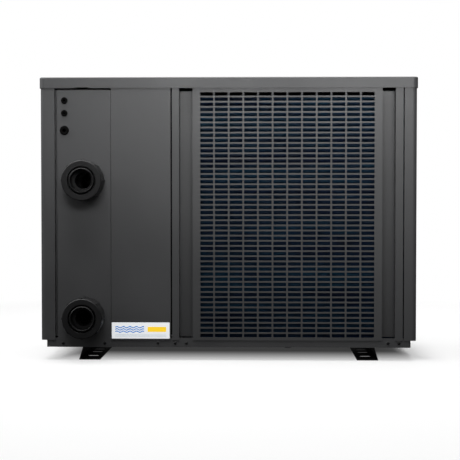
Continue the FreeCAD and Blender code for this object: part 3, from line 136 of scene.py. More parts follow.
def add_floor():
    """Pale floor with a painted contact shadow. It shows a mix of its lit surface and an even white glow.
    The glow's share is CORE_GLOW under the unit, NEAR_GLOW past the painted shadow's outer limits in x and
    y from its middle, and all past FLOOR_FADE. The glow share falls towards the unit, and that paints the
    unit's shadow on the floor."""
    s = FLOOR_SIZE
    mesh = bpy.data.meshes.new("floor")
    mesh.from_pydata([(-s, -s, 0), (s, -s, 0), (s, s, 0), (-s, s, 0)], [], [(0, 1, 2, 3)])
    floor = bpy.data.objects.new("floor", mesh)
    bpy.context.collection.objects.link(floor)
    material = bpy.data.materials.new("studio_floor")
    material.use_nodes = True
    tree = material.node_tree
    nodes, links = tree.nodes, tree.links
    shader = nodes["Principled BSDF"]
    shader.inputs["Base Color"].default_value = (0.9, 0.9, 0.9, 1)
    shader.inputs["Roughness"].default_value = 0.95
    shader.inputs["Specular IOR Level"].default_value = 0.0
    glow = nodes.new("ShaderNodeEmission")
    glow.inputs["Strength"].default_value = 1.0
    dim = nodes.new("ShaderNodeEmission")
    dim.inputs["Strength"].default_value = FLOOR_BOUNCE
    place = nodes.new("ShaderNodeNewGeometry").outputs["Position"]
    split = nodes.new("ShaderNodeSeparateXYZ")
    links.new(place, split.inputs["Vector"])
    shares = []
    # painted contact shadow: the glow's share falls towards the unit's middle in x and in y
    for axis, middle, limits in zip("XY", PAINTED_SHADOW_CENTRE, (PAINTED_SHADOW_X, PAINTED_SHADOW_Y)):
        away = math_node(tree, "ABSOLUTE", math_node(tree, "SUBTRACT", split.outputs[axis], middle))
        shares.append(math_node(tree, "MULTIPLY", ramp_between(tree, away, *limits), NEAR_GLOW))
    near = math_node(tree, "MAXIMUM", math_node(tree, "MAXIMUM", *shares), CORE_GLOW)
    far = nodes.new("ShaderNodeVectorMath")
    far.operation = "LENGTH"
    links.new(place, far.inputs[0])
    share = math_node(tree, "MAXIMUM", near, ramp_between(tree, far.outputs["Value"], *FLOOR_FADE))
    mix = nodes.new("ShaderNodeMixShader")
    seen = nodes.new("ShaderNodeMixShader")
    path = nodes.new("ShaderNodeLightPath")
    links.new(share, mix.inputs["Fac"])
    links.new(shader.outputs["BSDF"], mix.inputs[1])
    links.new(glow.outputs["Emission"], mix.inputs[2])
    links.new(path.outputs["Is Camera Ray"], seen.inputs["Fac"])
    links.new(dim.outputs["Emission"], seen.inputs[1])
    links.new(mix.outputs["Shader"], seen.inputs[2])
    links.new(seen.outputs["Shader"], nodes["Material Output"].inputs["Surface"])
    floor.data.materials.append(material)


def add_studio():
    add_world()
    add_floor()
    add_area_light("key", (0.25, -1.55, 0.86), (0.25, 0, 0.80), (1.3, 0.25), KEY_WATTS, spread=74)
    add_area_light("left_strip", (-1.3, -0.35, 1.15), (-0.43, -0.17, 0.5), (0.3, 0.6), STRIP_WATTS,
                   spread=90)
    add_area_light("overhead", (-0.15, -0.1, 2.4), (0, 0, 0), (2.2, 2.2), OVERHEAD_WATTS, spread=120)
    add_area_light("fan_side", (0.6, 2.3, 1.5), (0, 0.17, 0.35), (1.6, 1.0), FAN_SIDE_WATTS)
    bpy.context.scene.view_settings.view_transform = "Standard"


# ---------------------------------------------------------------- shader node groups
def new_group(name, inputs, outputs):
    """Empty node group with named float inputs and (name, socket type) outputs."""
    tree = bpy.data.node_groups.new(name, "ShaderNodeTree")
    for label, value in inputs:
        socket = tree.interface.new_socket(label, in_out="INPUT", socket_type="NodeSocketFloat")
        socket.default_value = value
    for label, kind in outputs:
        tree.interface.new_socket(label, in_out="OUTPUT", socket_type=kind)
    return tree, tree.nodes.new("NodeGroupInput"), tree.nodes.new("NodeGroupOutput")


def math_node(tree, operation, a, b=None, clamp=False):
    """Math node; a and b are sockets or plain numbers."""
    node = tree.nodes.new("ShaderNodeMath")
    node.operation = operation
    node.use_clamp = clamp
    for index, value in enumerate((a, b)):
        if value is None:
            continue
        if isinstance(value, (int, float)):
            node.inputs[index].default_value = value
        else:
            tree.links.new(value, node.inputs[index])
    return node.outputs[0]


def noise_node(tree, vector, scale, detail=2.0, rough=0.5):
    node = tree.nodes.new("ShaderNodeTexNoise")
    node.inputs["Detail"].default_value = detail
    node.inputs["Roughness"].default_value = rough
    tree.links.new(vector, node.inputs["Vector"])
    if isinstance(scale, (int, float)):
        node.inputs["Scale"].default_value = scale
    else:
        tree.links.new(scale, node.inputs["Scale"])
    return node.outputs["Fac"]


def ramp_between(tree, value, low, high):
    """0 under low, 1 over high, smooth between."""
    node = tree.nodes.new("ShaderNodeMapRange")
    node.interpolation_type = "SMOOTHSTEP"
    tree.links.new(value, node.inputs["Value"])
    for label, limit in (("From Min", low), ("From Max", high)):
        if isinstance(limit, (int, float)):
            node.inputs[label].default_value = limit
        else:
            tree.links.new(limit, node.inputs[label])
    return node.outputs["Result"]


def make_grain_group():
    """Pebbled surface: fine noise over a coarser orange peel, as a height."""
    tree, inside, out = new_group("surface_grain", [("Scale", 900.0), ("Peel", 0.4)],
                                  [("Height", "NodeSocketFloat")])
    place = tree.nodes.new("ShaderNodeTexCoord").outputs["Object"]
    fine = noise_node(tree, place, inside.outputs["Scale"], 3.0, 0.6)
    coarse_scale = math_node(tree, "MULTIPLY", inside.outputs["Scale"], 0.22)
    coarse = noise_node(tree, place, coarse_scale, 1.0, 0.4)
    peel = math_node(tree, "MULTIPLY", coarse, inside.outputs["Peel"])
    tree.links.new(math_node(tree, "ADD", fine, peel), out.inputs["Height"])
    return tree


def make_mottle_group():
    """Cloudy variation over the whole surface, from 0 to 1."""
    tree, inside, out = new_group("mottle", [("Scale", 9.0)], [("Fac", "NodeSocketFloat")])
    place = tree.nodes.new("ShaderNodeTexCoord").outputs["Object"]
    cloud = noise_node(tree, place, inside.outputs["Scale"], 4.0, 0.55)
    tree.links.new(ramp_between(tree, cloud, 0.3, 0.7), out.inputs["Fac"])
    return tree


def make_wear_group():
    """Rubbed edges: where a rounded normal leaves the true one, broken up by noise."""
    tree, inside, out = new_group("edge_wear", [("Radius", 0.0015), ("Break", 60.0)],
                                  [("Mask", "NodeSocketFloat")])
    bevel = tree.nodes.new("ShaderNodeBevel")
    bevel.samples = 4
    tree.links.new(inside.outputs["Radius"], bevel.inputs["Radius"])
    true_normal = tree.nodes.new("ShaderNodeNewGeometry").outputs["Normal"]
    dot = tree.nodes.new("ShaderNodeVectorMath")
    dot.operation = "DOT_PRODUCT"
    tree.links.new(bevel.outputs["Normal"], dot.inputs[0])
    tree.links.new(true_normal, dot.inputs[1])
    bend = math_node(tree, "SUBTRACT", 1.0, dot.outputs["Value"])
    edge = ramp_between(tree, bend, 0.02, 0.22)
    place = tree.nodes.new("ShaderNodeTexCoord").outputs["Object"]
    gaps = ramp_between(tree, noise_node(tree, place, inside.outputs["Break"], 4.0, 0.6), 0.35, 0.62)
    tree.links.new(math_node(tree, "MULTIPLY", edge, gaps), out.inputs["Mask"])
    return tree


def make_dust_group():
    """Dust that settles on what faces up, and thinly everywhere."""
    tree, inside, out = new_group("dust", [("Amount", 0.3)], [("Mask", "NodeSocketFloat")])
    normal = tree.nodes.new("ShaderNodeNewGeometry").outputs["Normal"]
    split = tree.nodes.new("ShaderNodeSeparateXYZ")
    tree.links.new(normal, split.inputs["Vector"])
    upward = ramp_between(tree, split.outputs["Z"], 0.2, 1.0)
    place = tree.nodes.new("ShaderNodeTexCoord").outputs["Object"]
    specks = ramp_between(tree, noise_node(tree, place, 42.0, 6.0, 0.7), 0.42, 0.72)
    both = math_node(tree, "MULTIPLY", math_node(tree, "ADD", upward, 0.12), specks)
    tree.links.new(math_node(tree, "MULTIPLY", both, inside.outputs["Amount"], True), out.inputs["Mask"])
    return tree


def make_streak_group():
    """Drawn or rolled lines: noise stretched along one axis by a mapping."""
    tree, inside, out = new_group("streaks", [("X", 1.0), ("Y", 1.0), ("Z", 1.0), ("Scale", 30.0)],
                                  [("Fac", "NodeSocketFloat")])
    place = tree.nodes.new("ShaderNodeTexCoord").outputs["Object"]
    stretch = tree.nodes.new("ShaderNodeVectorMath")
    stretch.operation = "MULTIPLY"
    factors = tree.nodes.new("ShaderNodeCombineXYZ")
    for axis in "XYZ":
        tree.links.new(inside.outputs[axis], factors.inputs[axis])
    tree.links.new(place, stretch.inputs[0])
    tree.links.new(factors.outputs["Vector"], stretch.inputs[1])
    lines = noise_node(tree, stretch.outputs["Vector"], inside.outputs["Scale"], 5.0, 0.6)
    tree.links.new(ramp_between(tree, lines, 0.32, 0.68), out.inputs["Fac"])
    return tree


GROUPS = {
    "grain": make_grain_group(),
    "mottle": make_mottle_group(),
    "wear": make_wear_group(),
    "dust": make_dust_group(),
    "streaks": make_streak_group(),
}


# ---------------------------------------------------------------- finishes
def use_group(material, key, **values):
    node = material.node_tree.nodes.new("ShaderNodeGroup")
    node.node_tree = GROUPS[key]
    for label, value in values.items():
        node.inputs[label].default_value = value
    return node.outputs[0]


def blend_colour(material, fac, a, b):
    """Colour mix; a and b are sockets or RGB triples."""
    node = material.node_tree.nodes.new("ShaderNodeMix")
    node.data_type = "RGBA"
    links = material.node_tree.links
    links.new(fac, node.inputs["Factor"])
    for label, value in (("A", a), ("B", b)):
        socket = [s for s in node.inputs if s.name == label and s.type == "RGBA"][0]
        if isinstance(value, tuple):
            socket.default_value = value + (1.0,)
        else:
            links.new(value, socket)
    return [s for s in node.outputs if s.type == "RGBA"][0]


def shade(colour, factor):
    return tuple(c * factor for c in colour)


def finish(name, colour, rough, metal=0.0, grain=(900.0, 0.00005), mottle=(9.0, 0.12), wear=(0.0012, 0.25),
           dust=0.15, worn=None, dusty=(0.30, 0.28, 0.25), streaks=None, specular=0.5, coat=0.0,
           painted_glow=0.0):
    """Painted, moulded or bare surface: cloudy colour, rubbed edges, dust, and a grain in the bump."""
    material = bpy.data.materials.new(name)
    material.use_nodes = True
    tree = material.node_tree
    shader = tree.nodes["Principled BSDF"]
    shader.inputs["Specular IOR Level"].default_value = specular
    shader.inputs["Coat Weight"].default_value = coat
    shader.inputs["Metallic"].default_value = metal
    # painted glow: emission in the surface's own colour, painted light that brightens a surface which is no
    # lamp
    shader.inputs["Emission Color"].default_value = colour + (1.0,)
    shader.inputs["Emission Strength"].default_value = painted_glow
    cloud = use_group(material, "mottle", Scale=mottle[0])
    base = blend_colour(material, cloud, shade(colour, 1 - mottle[1]), shade(colour, 1 + mottle[1]))
    if streaks:
        x, y, z, scale, depth = streaks
        lines = use_group(material, "streaks", X=x, Y=y, Z=z, Scale=scale)
        base = blend_colour(material, math_node(tree, "MULTIPLY", lines, depth), base, shade(colour, 1.8))
    if wear[1] > 0:
        rubbed = math_node(tree, "MULTIPLY", use_group(material, "wear", Radius=wear[0]), wear[1])
        base = blend_colour(material, rubbed, base, worn or shade(colour, 2.6))
    if dust > 0:
        base = blend_colour(material, use_group(material, "dust", Amount=dust), base, dusty)
    tree.links.new(base, shader.inputs["Base Color"])
    spread = tree.nodes.new("ShaderNodeMapRange")
    spread.inputs["To Min"].default_value = rough - 0.05
    spread.inputs["To Max"].default_value = rough + 0.06
    tree.links.new(cloud, spread.inputs["Value"])
    tree.links.new(spread.outputs["Result"], shader.inputs["Roughness"])
    bump = tree.nodes.new("ShaderNodeBump")
    bump.inputs["Strength"].default_value = 1.0
    bump.inputs["Distance"].default_value = grain[1]
    tree.links.new(use_group(material, "grain", Scale=grain[0]), bump.inputs["Height"])
    tree.links.new(bump.outputs["Normal"], shader.inputs["Normal"])
    return material


FIN_NAVY = (0.004, 0.013, 0.048)
FIN_TEAL = (0.012, 0.078, 0.150)
BOARD_GREEN = (0.02, 0.12, 0.055)
TRACK_GREEN = (0.06, 0.30, 0.14)


def make_fin_finish():
    """Blue hydrophilic coating: dark navy with broad, broken teal bands that run level."""
    material = finish("fin_blue", FIN_NAVY, 0.5, 0.0, grain=(1500.0, 0.00002), mottle=(30.0, 0.3),
                      wear=(0.001, 0.0), dust=0.0)
    tree = material.node_tree
    shader = tree.nodes["Principled BSDF"]
    dark = shader.inputs["Base Color"].links[0].from_socket
    bands = use_group(material, "streaks", X=0.35, Y=0.35, Z=3.2, Scale=9.0)
    fine = use_group(material, "streaks", X=0.6, Y=0.6, Z=6.0, Scale=30.0)
    broken = math_node(tree, "ADD", math_node(tree, "MULTIPLY", fine, 0.6), 0.4)
    both = math_node(tree, "MULTIPLY", bands, broken)
    tree.links.new(blend_colour(material, both, dark, FIN_TEAL), shader.inputs["Base Color"])
    return material


def make_board_finish():
    """Green solder mask with lighter tracks: two brick patterns of thin lines."""
    material = finish("board_green", BOARD_GREEN, 0.45, 0.0, grain=(700.0, 0.00002), mottle=(20.0, 0.2),
                      wear=(0.001, 0.0), dust=0.1)
    tree = material.node_tree
    shader = tree.nodes["Principled BSDF"]
    base = shader.inputs["Base Color"].links[0].from_socket
    bricks = tree.nodes.new("ShaderNodeTexBrick")
    bricks.inputs["Scale"].default_value = 60.0
    bricks.inputs["Mortar Size"].default_value = 0.03
    tree.links.new(tree.nodes.new("ShaderNodeTexCoord").outputs["Object"], bricks.inputs["Vector"])
    tracks = blend_colour(material, bricks.outputs["Fac"], base, TRACK_GREEN)
    tree.links.new(tracks, shader.inputs["Base Color"])
    return material


def make_clear_finish():
    """Smoked clear plastic with a faint haze of fine scratches."""
    material = bpy.data.materials.new("cover_clear")
    material.use_nodes = True
    tree = material.node_tree
    shader = tree.nodes["Principled BSDF"]
    shader.inputs["Base Color"].default_value = (0.42, 0.46, 0.50, 1)
    shader.inputs["Transmission Weight"].default_value = 0.0
    shader.inputs["Specular IOR Level"].default_value = 0.6
    scratches = use_group(material, "streaks", X=1.0, Y=1.0, Z=0.12, Scale=160.0)
    haze = tree.nodes.new("ShaderNodeMapRange")
    haze.inputs["To Min"].default_value = 0.06
    haze.inputs["To Max"].default_value = 0.16
    tree.links.new(scratches, haze.inputs["Value"])
    tree.links.new(haze.outputs["Result"], shader.inputs["Roughness"])
    see = tree.nodes.new("ShaderNodeMapRange")
    see.inputs["To Min"].default_value = 0.20
    see.inputs["To Max"].default_value = 0.27
    tree.links.new(scratches, see.inputs["Value"])
    tree.links.new(see.outputs["Result"], shader.inputs["Alpha"])
    return material


def make_glow_finish(name, colour, power):
    """Backlit segment, slightly uneven."""
    material = bpy.data.materials.new(name)
    material.use_nodes = True
    shader = material.node_tree.nodes["Principled BSDF"]
    cloud = use_group(material, "mottle", Scale=120.0)
    lit = blend_colour(material, cloud, shade(colour, 0.85), colour)
    material.node_tree.links.new(lit, shader.inputs["Base Color"])
    material.node_tree.links.new(lit, shader.inputs["Emission Color"])
    shader.inputs["Emission Strength"].default_value = power
    shader.inputs["Roughness"].default_value = 0.4
    return material


FINISH_TABLE = {
    "casing": dict(colour=(0.088, 0.089, 0.092), rough=0.46, grain=(1400.0, 0.00006), mottle=(5.0, 0.06),
                   wear=(0.0012, 0.12), dust=0.10),
    "foot_black": dict(colour=(0.012, 0.012, 0.013), rough=0.5, grain=(1100.0, 0.00006),
                       wear=(0.001, 0.10)),
    "screw_black": dict(colour=(0.02, 0.02, 0.021), rough=0.38, metal=0.6, grain=(1500.0, 0.00002),
                        wear=(0.0006, 0.4), worn=(0.25, 0.25, 0.24)),
    "screw_zinc": dict(colour=(0.50, 0.50, 0.47), rough=0.35, metal=1.0, grain=(1500.0, 0.00002),
                       dust=0.2),
    "moulding_black": dict(colour=(0.020, 0.020, 0.022), rough=0.52, grain=(2200.0, 0.00009), dust=0.1,
                           wear=(0.0008, 0.15)),
    "union_black": dict(colour=(0.014, 0.014, 0.015), rough=0.50, grain=(1800.0, 0.00005),
                        mottle=(24.0, 0.15), wear=(0.0010, 0.06), dust=0.04, specular=0.32),
    # white label, brightened by a painted glow
    "label_white": dict(colour=(0.86, 0.88, 0.90), rough=0.35, grain=(900.0, 0.00001), mottle=(14.0, 0.02),
                        wear=(0.0005, 0.0), dust=0.02, specular=0.3, painted_glow=0.6),
    "rubber_black": dict(colour=(0.003, 0.003, 0.003), rough=0.75, grain=(1600.0, 0.00006), dust=0.01,
                         wear=(0.0006, 0.0), specular=0.08),
    "galvanised": dict(colour=(0.40, 0.42, 0.43), rough=0.42, metal=0.7, grain=(500.0, 0.00003),
                       mottle=(70.0, 0.25), dust=0.25),
    "copper": dict(colour=(0.62, 0.27, 0.14), rough=0.36, metal=1.0, grain=(900.0, 0.00003),
                   mottle=(35.0, 0.35), wear=(0.001, 0.2), dust=0.1),
    "brass": dict(colour=(0.62, 0.44, 0.16), rough=0.34, metal=1.0, grain=(1200.0, 0.00003),
                  mottle=(40.0, 0.2), dust=0.1),
    "titanium": dict(colour=(0.38, 0.36, 0.34), rough=0.38, metal=1.0, grain=(1200.0, 0.00002),
                     mottle=(30.0, 0.2), streaks=(1.0, 1.0, 8.0, 40.0, 0.2)),
    "compressor_black": dict(colour=(0.018, 0.018, 0.020), rough=0.35, grain=(500.0, 0.00012),
                             mottle=(12.0, 0.2), dust=0.3, coat=0.2),
    "steel_core": dict(colour=(0.25, 0.25, 0.26), rough=0.5, metal=1.0, grain=(700.0, 0.00006),
                       mottle=(25.0, 0.3), streaks=(1.0, 1.0, 30.0, 20.0, 0.3)),
    "water_pipe_grey": dict(colour=(0.22, 0.23, 0.24), rough=0.42, grain=(800.0, 0.00003),
                            mottle=(10.0, 0.1), dust=0.2, wear=(0.001, 0.1)),
    "heat_sink_aluminium": dict(colour=(0.60, 0.61, 0.63), rough=0.34, metal=1.0, grain=(900.0, 0.00002),
                                mottle=(18.0, 0.1), streaks=(1.0, 20.0, 20.0, 10.0, 0.15)),
    "motor_steel": dict(colour=(0.34, 0.35, 0.36), rough=0.36, metal=1.0, grain=(900.0, 0.00003),
                        mottle=(22.0, 0.15), streaks=(1.0, 12.0, 1.0, 24.0, 0.15), dust=0.2),
    "fan_plastic": dict(colour=(0.040, 0.042, 0.045), rough=0.42, grain=(1500.0, 0.00005),
                        mottle=(16.0, 0.15), wear=(0.001, 0.12), dust=0.25),
    "guard_black": dict(colour=(0.016, 0.016, 0.017), rough=0.40, grain=(700.0, 0.00008),
                        mottle=(20.0, 0.15), wear=(0.0008, 0.1), dust=0.12),
    "display_dark": dict(colour=(0.008, 0.010, 0.014), rough=0.14, grain=(400.0, 0.000005),
                         mottle=(10.0, 0.1), wear=(0.0005, 0.0), dust=0.02, specular=0.6, coat=0.5),
    "button_grey": dict(colour=(0.26, 0.27, 0.28), rough=0.55, grain=(2500.0, 0.00005),
                        mottle=(60.0, 0.08), wear=(0.0006, 0.2), dust=0.03),
    "handle_black": dict(colour=(0.022, 0.022, 0.024), rough=0.56, grain=(1700.0, 0.00012),
                         wear=(0.001, 0.2), dust=0.15),
}
FINISHES = {name: finish(name, **values) for name, values in FINISH_TABLE.items()}
FINISHES["fin_blue"] = make_fin_finish()
FINISHES["board_green"] = make_board_finish()
FINISHES["cover_clear"] = make_clear_finish()


INK_GRAIN = (900.0, 0.00001)
INK_ROUGH = 0.35
KEY_ROUGH = 0.45


def print_finish(name, colour, painted_glow=0.0, cloud=0.05, wear_radius=0.0005):
    """Flat ink or paint, with next to no relief. Inks get a painted glow, an emission in their own colour
    that is painted light.
    """
    return finish(name, colour, INK_ROUGH if painted_glow else KEY_ROUGH, grain=INK_GRAIN, mottle=(60.0, cloud),
                  wear=(wear_radius, 0.0), dust=0.0, painted_glow=painted_glow)


# label inks, brightened by a painted glow
PRINT_BLUE = print_finish("print_blue", (0.02, 0.20, 0.62), 0.6)
PRINT_YELLOW = print_finish("print_yellow", (0.95, 0.62, 0.03), 0.7)
PRINT_GREY = print_finish("print_grey", (0.35, 0.45, 0.52), 0.6)
KEY_WHITE = print_finish("key_white", (0.75, 0.76, 0.77), cloud=0.04, wear_radius=0.0004)
SEGMENT_GLOW = make_glow_finish("segment_glow", (0.30, 0.85, 1.0), 1.6)


def dress_frame():
    """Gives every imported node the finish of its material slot."""
    for name, node in NODES.items():
        material = FINISHES[SLOT_OF[name]]
        if not node.material_slots:
            node.data.materials.append(material)
        for index in range(len(node.material_slots)):
            node.material_slots[index].material = material


# ---------------------------------------------------------------- mesh building
def add_piece(name, points, faces, material, body, smooth=True):
    """Mesh piece at the origin, with its normals made to point out of each closed shell."""
    mesh = bpy.data.meshes.new(name)
    mesh.from_pydata(points.reshape(-1, 3).tolist(), [], faces)
    shell = bmesh.new()
    shell.from_mesh(mesh)
    bmesh.ops.recalc_face_normals(shell, faces=shell.faces)
    shell.to_mesh(mesh)
    shell.free()
    mesh.polygons.foreach_set("use_smooth", np.full(len(mesh.polygons), smooth))
    mesh.materials.append(material)
    piece = bpy.data.objects.new(name, mesh)
    bpy.context.collection.objects.link(piece)
    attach(piece, body)
    return piece


def loft_faces(count, stations, around):
    """Quads round each of count lofts, from station to station, and a flat cap at both ends."""
    k, n, m = np.meshgrid(np.arange(count), np.arange(stations - 1), np.arange(around), indexing="ij")
    start = (k * stations + n) * around
    after = (m + 1) % around
    quads = np.stack([start + m, start + after, start + around + after, start + around + m], -1)
    faces = quads.reshape(-1, 4).tolist()
    ring = np.arange(around)
    for i in range(count):
        first = i * stations * around
        faces.append((first + ring[::-1]).tolist())
        faces.append((first + (stations - 1) * around + ring).tolist())
    return faces


def add_lofts(name, sections, material, body, smooth=False):
    """Closed solids from an array (solids, stations, points round the section, 3)."""
    sections = np.asarray(sections, float)
    faces = loft_faces(*sections.shape[:3])
    return add_piece(name, sections, faces, material, body, smooth)


# ---------------------------------------------------------------- air coil
COIL_THICK = 22 * MM
COIL_BEND = 28 * MM
FINE_PITCH = 2.0 * MM
FIN_THICK = 0.25 * MM
FIN_LEVELS = 6
FIN_FOLDS = 9
FOLD_SWAY = 1.15 * MM
BEND_FINS = 34


def fin_stack(origins, along, inward):
    """Upright plates folded like a fan across the coil's depth. Point k of FIN_FOLDS lies
    k / (FIN_FOLDS - 1) of COIL_THICK along 'inward', and sways by plus or minus FOLD_SWAY along 'along'.
    Both skins stand FIN_THICK apart."""
    low, high = corner_low("evaporator_fins")[2], corner_high("evaporator_fins")[2]
    z = np.linspace(low, high, FIN_LEVELS)
    step = np.arange(FIN_FOLDS)
    depth = COIL_THICK * step / (FIN_FOLDS - 1)
    sway = FOLD_SWAY * (-1.0) ** step
    depth = np.concatenate([depth, depth[::-1]])
    shift = np.concatenate([sway - FIN_THICK / 2, (sway + FIN_THICK / 2)[::-1]])
    ring = inward[:, None, :] * depth[None, :, None] + along[:, None, :] * shift[None, :, None]
    points = origins[:, None, None, :] + np.repeat(ring[:, None], FIN_LEVELS, axis=1)
    points[..., 2] = z[None, :, None]
    return points


def add_fins():
    low, high = corner_low("evaporator_fins"), corner_high("evaporator_fins")
    corner = np.array([high[0] - COIL_THICK - COIL_BEND, low[1] + COIL_THICK + COIL_BEND, 0])
    x = np.arange(low[0] + 1.5 * MM, corner[0], FINE_PITCH)
    y = np.arange(corner[1] + 0.5 * MM, high[1] - 1.5 * MM, FINE_PITCH)
    ones_x, ones_y = np.ones((len(x), 1)), np.ones((len(y), 1))
    rear_feet = np.stack([x, np.full_like(x, low[1]), 0 * x], -1)
    side_feet = np.stack([np.full_like(y, high[0]), y, 0 * y], -1)
    rear = fin_stack(rear_feet, ones_x * [1, 0, 0], ones_x * [0, 1, 0])
    side = fin_stack(side_feet, ones_y * [0, 1, 0], ones_y * [-1, 0, 0])
    angle = np.radians(-90 + np.linspace(2, 88, BEND_FINS))
    outward = np.stack([np.cos(angle), np.sin(angle), 0 * angle], -1)
    across = np.stack([-np.sin(angle), np.cos(angle), 0 * angle], -1)
    bend = fin_stack(corner + outward * (COIL_BEND + COIL_THICK), across, -outward)
    coating = FINISHES["fin_blue"]
    first = add_lofts("fin_rows_rear", rear, coating, "chassis")
    add_lofts("fin_rows_side", side, coating, "chassis")
    add_lofts("fin_rows_bend", bend, coating, "chassis")
    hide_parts("evaporator_fins")


# ---------------------------------------------------------------- prints and marks
FILM = 0.12 * MM
WAVE_POINTS = 60
WAVE_GAP = 5.2 * MM
WAVE_HEIGHT = 1.5 * MM
WAVE_LENGTH = 15 * MM
WAVE_HALF_WIDTH = 1.1 * MM
RULE_T = 0.9 * MM


def plate_loft(outline, y_back, y_front):
    """Flat plate facing along Y: outline is (points, 2) in x and z."""
    outline = np.asarray(outline, float)
    back = np.stack([outline[:, 0], np.full(len(outline), y_back), outline[:, 1]], -1)
    front = back.copy()
    front[:, 1] = y_front
    return np.stack([back, front])


def wave_loft(x0, x1, z0, height, wave, half_width, y_back, y_front):
    """Level ribbon whose middle line is z = z0 + height sin(2 pi (x - x0) / wave)."""
    x = np.linspace(x0, x1, WAVE_POINTS)
    z = z0 + height * np.sin(2 * np.pi * (x - x0) / wave)
    rows = [np.stack([x, np.full_like(x, y), z + s * half_width], -1)
            for y, s in ((y_back, -1), (y_back, 1), (y_front, 1), (y_front, -1))]
    return np.stack(rows, 1)


def box_outline(x0, x1, z0, z1):
    return [(x0, z0), (x1, z0), (x1, z1), (x0, z1)]


def add_label_print():
    """Plain water-wave lines, a yellow bar and thin rules on the white plate."""
    low, high = corner_low("label_plate"), corner_high("label_plate")
    back = low[1] + 0.02 * MM
    front = low[1] - FILM
    wide = high[0] - low[0]
    middle = (low[2] + high[2]) / 2 + 2.5 * MM
    waves = [wave_loft(low[0] + 0.06 * wide, low[0] + 0.56 * wide, middle + dz, WAVE_HEIGHT, WAVE_LENGTH,
                       WAVE_HALF_WIDTH, back, front)
             for dz in (WAVE_GAP, 0.0, -WAVE_GAP)]
    add_lofts("label_waves", waves, PRINT_BLUE, "chassis")
    right = low[0] + 0.94 * wide
    bar = box_outline(low[0] + 0.62 * wide, right, middle - 5.5 * MM, middle + 6 * MM)
    add_lofts("label_bar", [plate_loft(bar, back, front)], PRINT_YELLOW, "chassis")
    rules = [plate_loft(box_outline(low[0] + 0.06 * wide, right, z, z + RULE_T), back, front)
             for z in (low[2] + 5.2 * MM, low[2] + 8.2 * MM)]
    add_lofts("label_rules", rules, PRINT_GREY, "chassis")


PARTITION_FLANGE_Y = -164.8 * MM
SHADE_STRIP_T = 1.9 * MM


def add_seam_shade_strip():
    """Black strip on the partition's flange, between it and the seam of the two rear panels: a dark sheet
    that paints the shade inside the seam.
    """
    flange_x, flange_y = corner_low("partition")[0], PARTITION_FLANGE_Y
    low, high = corner_low("rear_service_panel")[2], corner_high("rear_service_panel")[2]
    outline = box_outline(flange_x + 1 * MM, flange_x + 22 * MM, low + 12 * MM, high - 6 * MM)
    add_lofts("seam_shade_strip", [plate_loft(outline, flange_y - 0.02 * MM, flange_y - SHADE_STRIP_T)],
              FINISHES["rubber_black"], "chassis")


DIGIT_SEGMENTS = {"2": "abged", "8": "abcdefg"}
DIGIT_W = 9 * MM
DIGIT_H = 18 * MM
DIGIT_PITCH = 15 * MM
DEGREE_R = 1.8 * MM
SUNK = 0.05 * MM            # how far a print's back lies inside what it is printed on


def segment_outline(key, x, z, w, h):
    """Pointed bar of a seven-segment digit whose lower right corner is (x, z), seen from the fan side."""
    t = 0.9 * MM
    spots = {"a": (0.5, 1.0, 0), "g": (0.5, 0.5, 0), "d": (0.5, 0.0, 0), "b": (0.0, 0.75, 1),
             "c": (0.0, 0.25, 1), "f": (1.0, 0.75, 1), "e": (1.0, 0.25, 1)}
    u, v, upright = spots[key]
    half = (h / 4 if upright else w / 2) - 0.5 * MM
    bar = np.array([(-half, 0), (-half + t, -t), (half - t, -t), (half, 0), (half - t, t), (-half + t, t)])
    if upright:
        bar = bar[:, ::-1]
    return bar + [x + u * w, z + v * h]


def add_display_digits():
    """Backlit water temperature on the display."""
    low, high = corner_low("display_window"), corner_high("display_window")
    face = high[1]
    middle_x, middle_z = (low[0] + high[0]) / 2, (low[2] + high[2]) / 2
    w, h = DIGIT_W, DIGIT_H
    bars = []
    for place, digit in enumerate("28"):
        x = middle_x + (0.5 - place) * DIGIT_PITCH - w / 2 + 6 * MM
        for key in DIGIT_SEGMENTS[digit]:
            outline = segment_outline(key, x, middle_z - h / 2, w, h)
            bars.append(plate_loft(outline, face - SUNK, face + FILM))
    add_lofts("display_digits", bars, SEGMENT_GLOW, "chassis")
    turn = np.linspace(0, 2 * np.pi, 24, endpoint=False)
    dot_x, dot_z = middle_x - 16 * MM, middle_z + 7 * MM
    dot = np.stack([dot_x + DEGREE_R * np.cos(turn), dot_z + DEGREE_R * np.sin(turn)], -1)
    spots = [plate_loft(dot, face - SUNK, face + FILM)]
    add_lofts("display_degree", spots, SEGMENT_GLOW, "chassis")


def arc_loft(x, z, radius, start, stop, half_width, y_back, y_front):
    """Bent ribbon round (x, z) between two angles."""
    angle = np.linspace(start, stop, 28)
    rows = []
    inner, outer = radius - half_width, radius + half_width
    for y, r in ((y_back, inner), (y_back, outer), (y_front, outer), (y_front, inner)):
        rows.append(np.stack([x + r * np.cos(angle), np.full_like(angle, y), z + r * np.sin(angle)], -1))
    return np.stack(rows, 1)


ARROW_HALF = 2.6 * MM


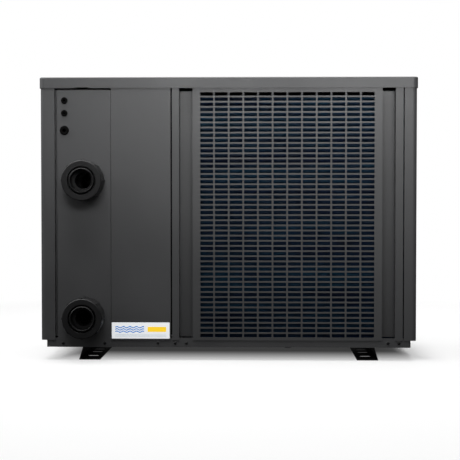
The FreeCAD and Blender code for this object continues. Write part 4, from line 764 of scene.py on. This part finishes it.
def add_key_marks():
    """Generic marks on the four keys: a power ring, a mode ring, and two arrows."""
    for key in ("power", "mode", "up", "down"):
        node = "button_" + key
        x, _, z = centre(node)
        face = corner_high(node)[1]
        back, front = face - SUNK, face + FILM
        if key == "power":
            ring = arc_loft(x, z, 2.6 * MM, math.radians(120), math.radians(420), 0.3 * MM, back, front)
            add_lofts("mark_power_ring", [ring], KEY_WHITE, node)
            bar = box_outline(x - 0.3 * MM, x + 0.3 * MM, z + 0.4 * MM, z + 3.2 * MM)
            add_lofts("mark_power_bar", [plate_loft(bar, back, front)], KEY_WHITE, node)
        elif key == "mode":
            ring = arc_loft(x, z, 2.4 * MM, 0.0, math.radians(359), 0.35 * MM, back, front)
            add_lofts("mark_mode_ring", [ring], KEY_WHITE, node)
        else:
            way = 1 if key == "up" else -1
            foot, tip = z - way * 1.5 * MM, z + way * ARROW_HALF
            arrow = [(x - ARROW_HALF, foot), (x + ARROW_HALF, foot), (x, tip)]
            add_lofts("mark_" + key, [plate_loft(arrow, back, front)], KEY_WHITE, node)


# ---------------------------------------------------------------- unions
THREAD_PITCH = 6 * MM
SPIGOT_R = 33.2 * MM
THREAD_RISE = 0.28 * MM
RIDGE_HALF = 2.2 * MM
FLANGE_T = 7.7 * MM


def add_union_thread(where):
    """Thread ridge: a triangle carried along the helix y = y0 - pitch * turn / (2 pi) on the spigot."""
    low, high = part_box("union_base_" + where)
    x, z = (low[0] + high[0]) / 2, (low[2] + high[2]) / 2
    y_start = corner_low("rear_pipe_panel")[1] - FLANGE_T - 2.5 * MM
    y_end = low[1] + 3.0 * MM
    turns = (y_start - y_end) / THREAD_PITCH
    angle = np.linspace(0, 2 * np.pi * turns, int(96 * turns))
    y = y_start - THREAD_PITCH * angle / (2 * np.pi)
    fade = np.clip(np.minimum(angle, angle[-1] - angle) / 0.6, 0.05, 1)
    rows = []
    corners = ((RIDGE_HALF, -0.1 * MM), (0.0, THREAD_RISE), (-RIDGE_HALF, -0.1 * MM), (0.0, -0.6 * MM))
    for dy, rise in corners:
        r = SPIGOT_R + rise * (fade if rise > 0 else 1)
        rows.append(np.stack([x + r * np.cos(angle), y + dy, z + r * np.sin(angle)], -1))
    add_lofts("thread_ridge_" + where, [np.stack(rows, 1)], FINISHES["union_black"],
              "chassis", True)


def build_pieces():
    add_fins()
    add_label_print()
    add_seam_shade_strip()
    add_display_digits()
    add_key_marks()
    for where in ("low", "high"):
        add_union_thread(where)


add_camera()
add_studio()
dress_frame()
build_pieces()
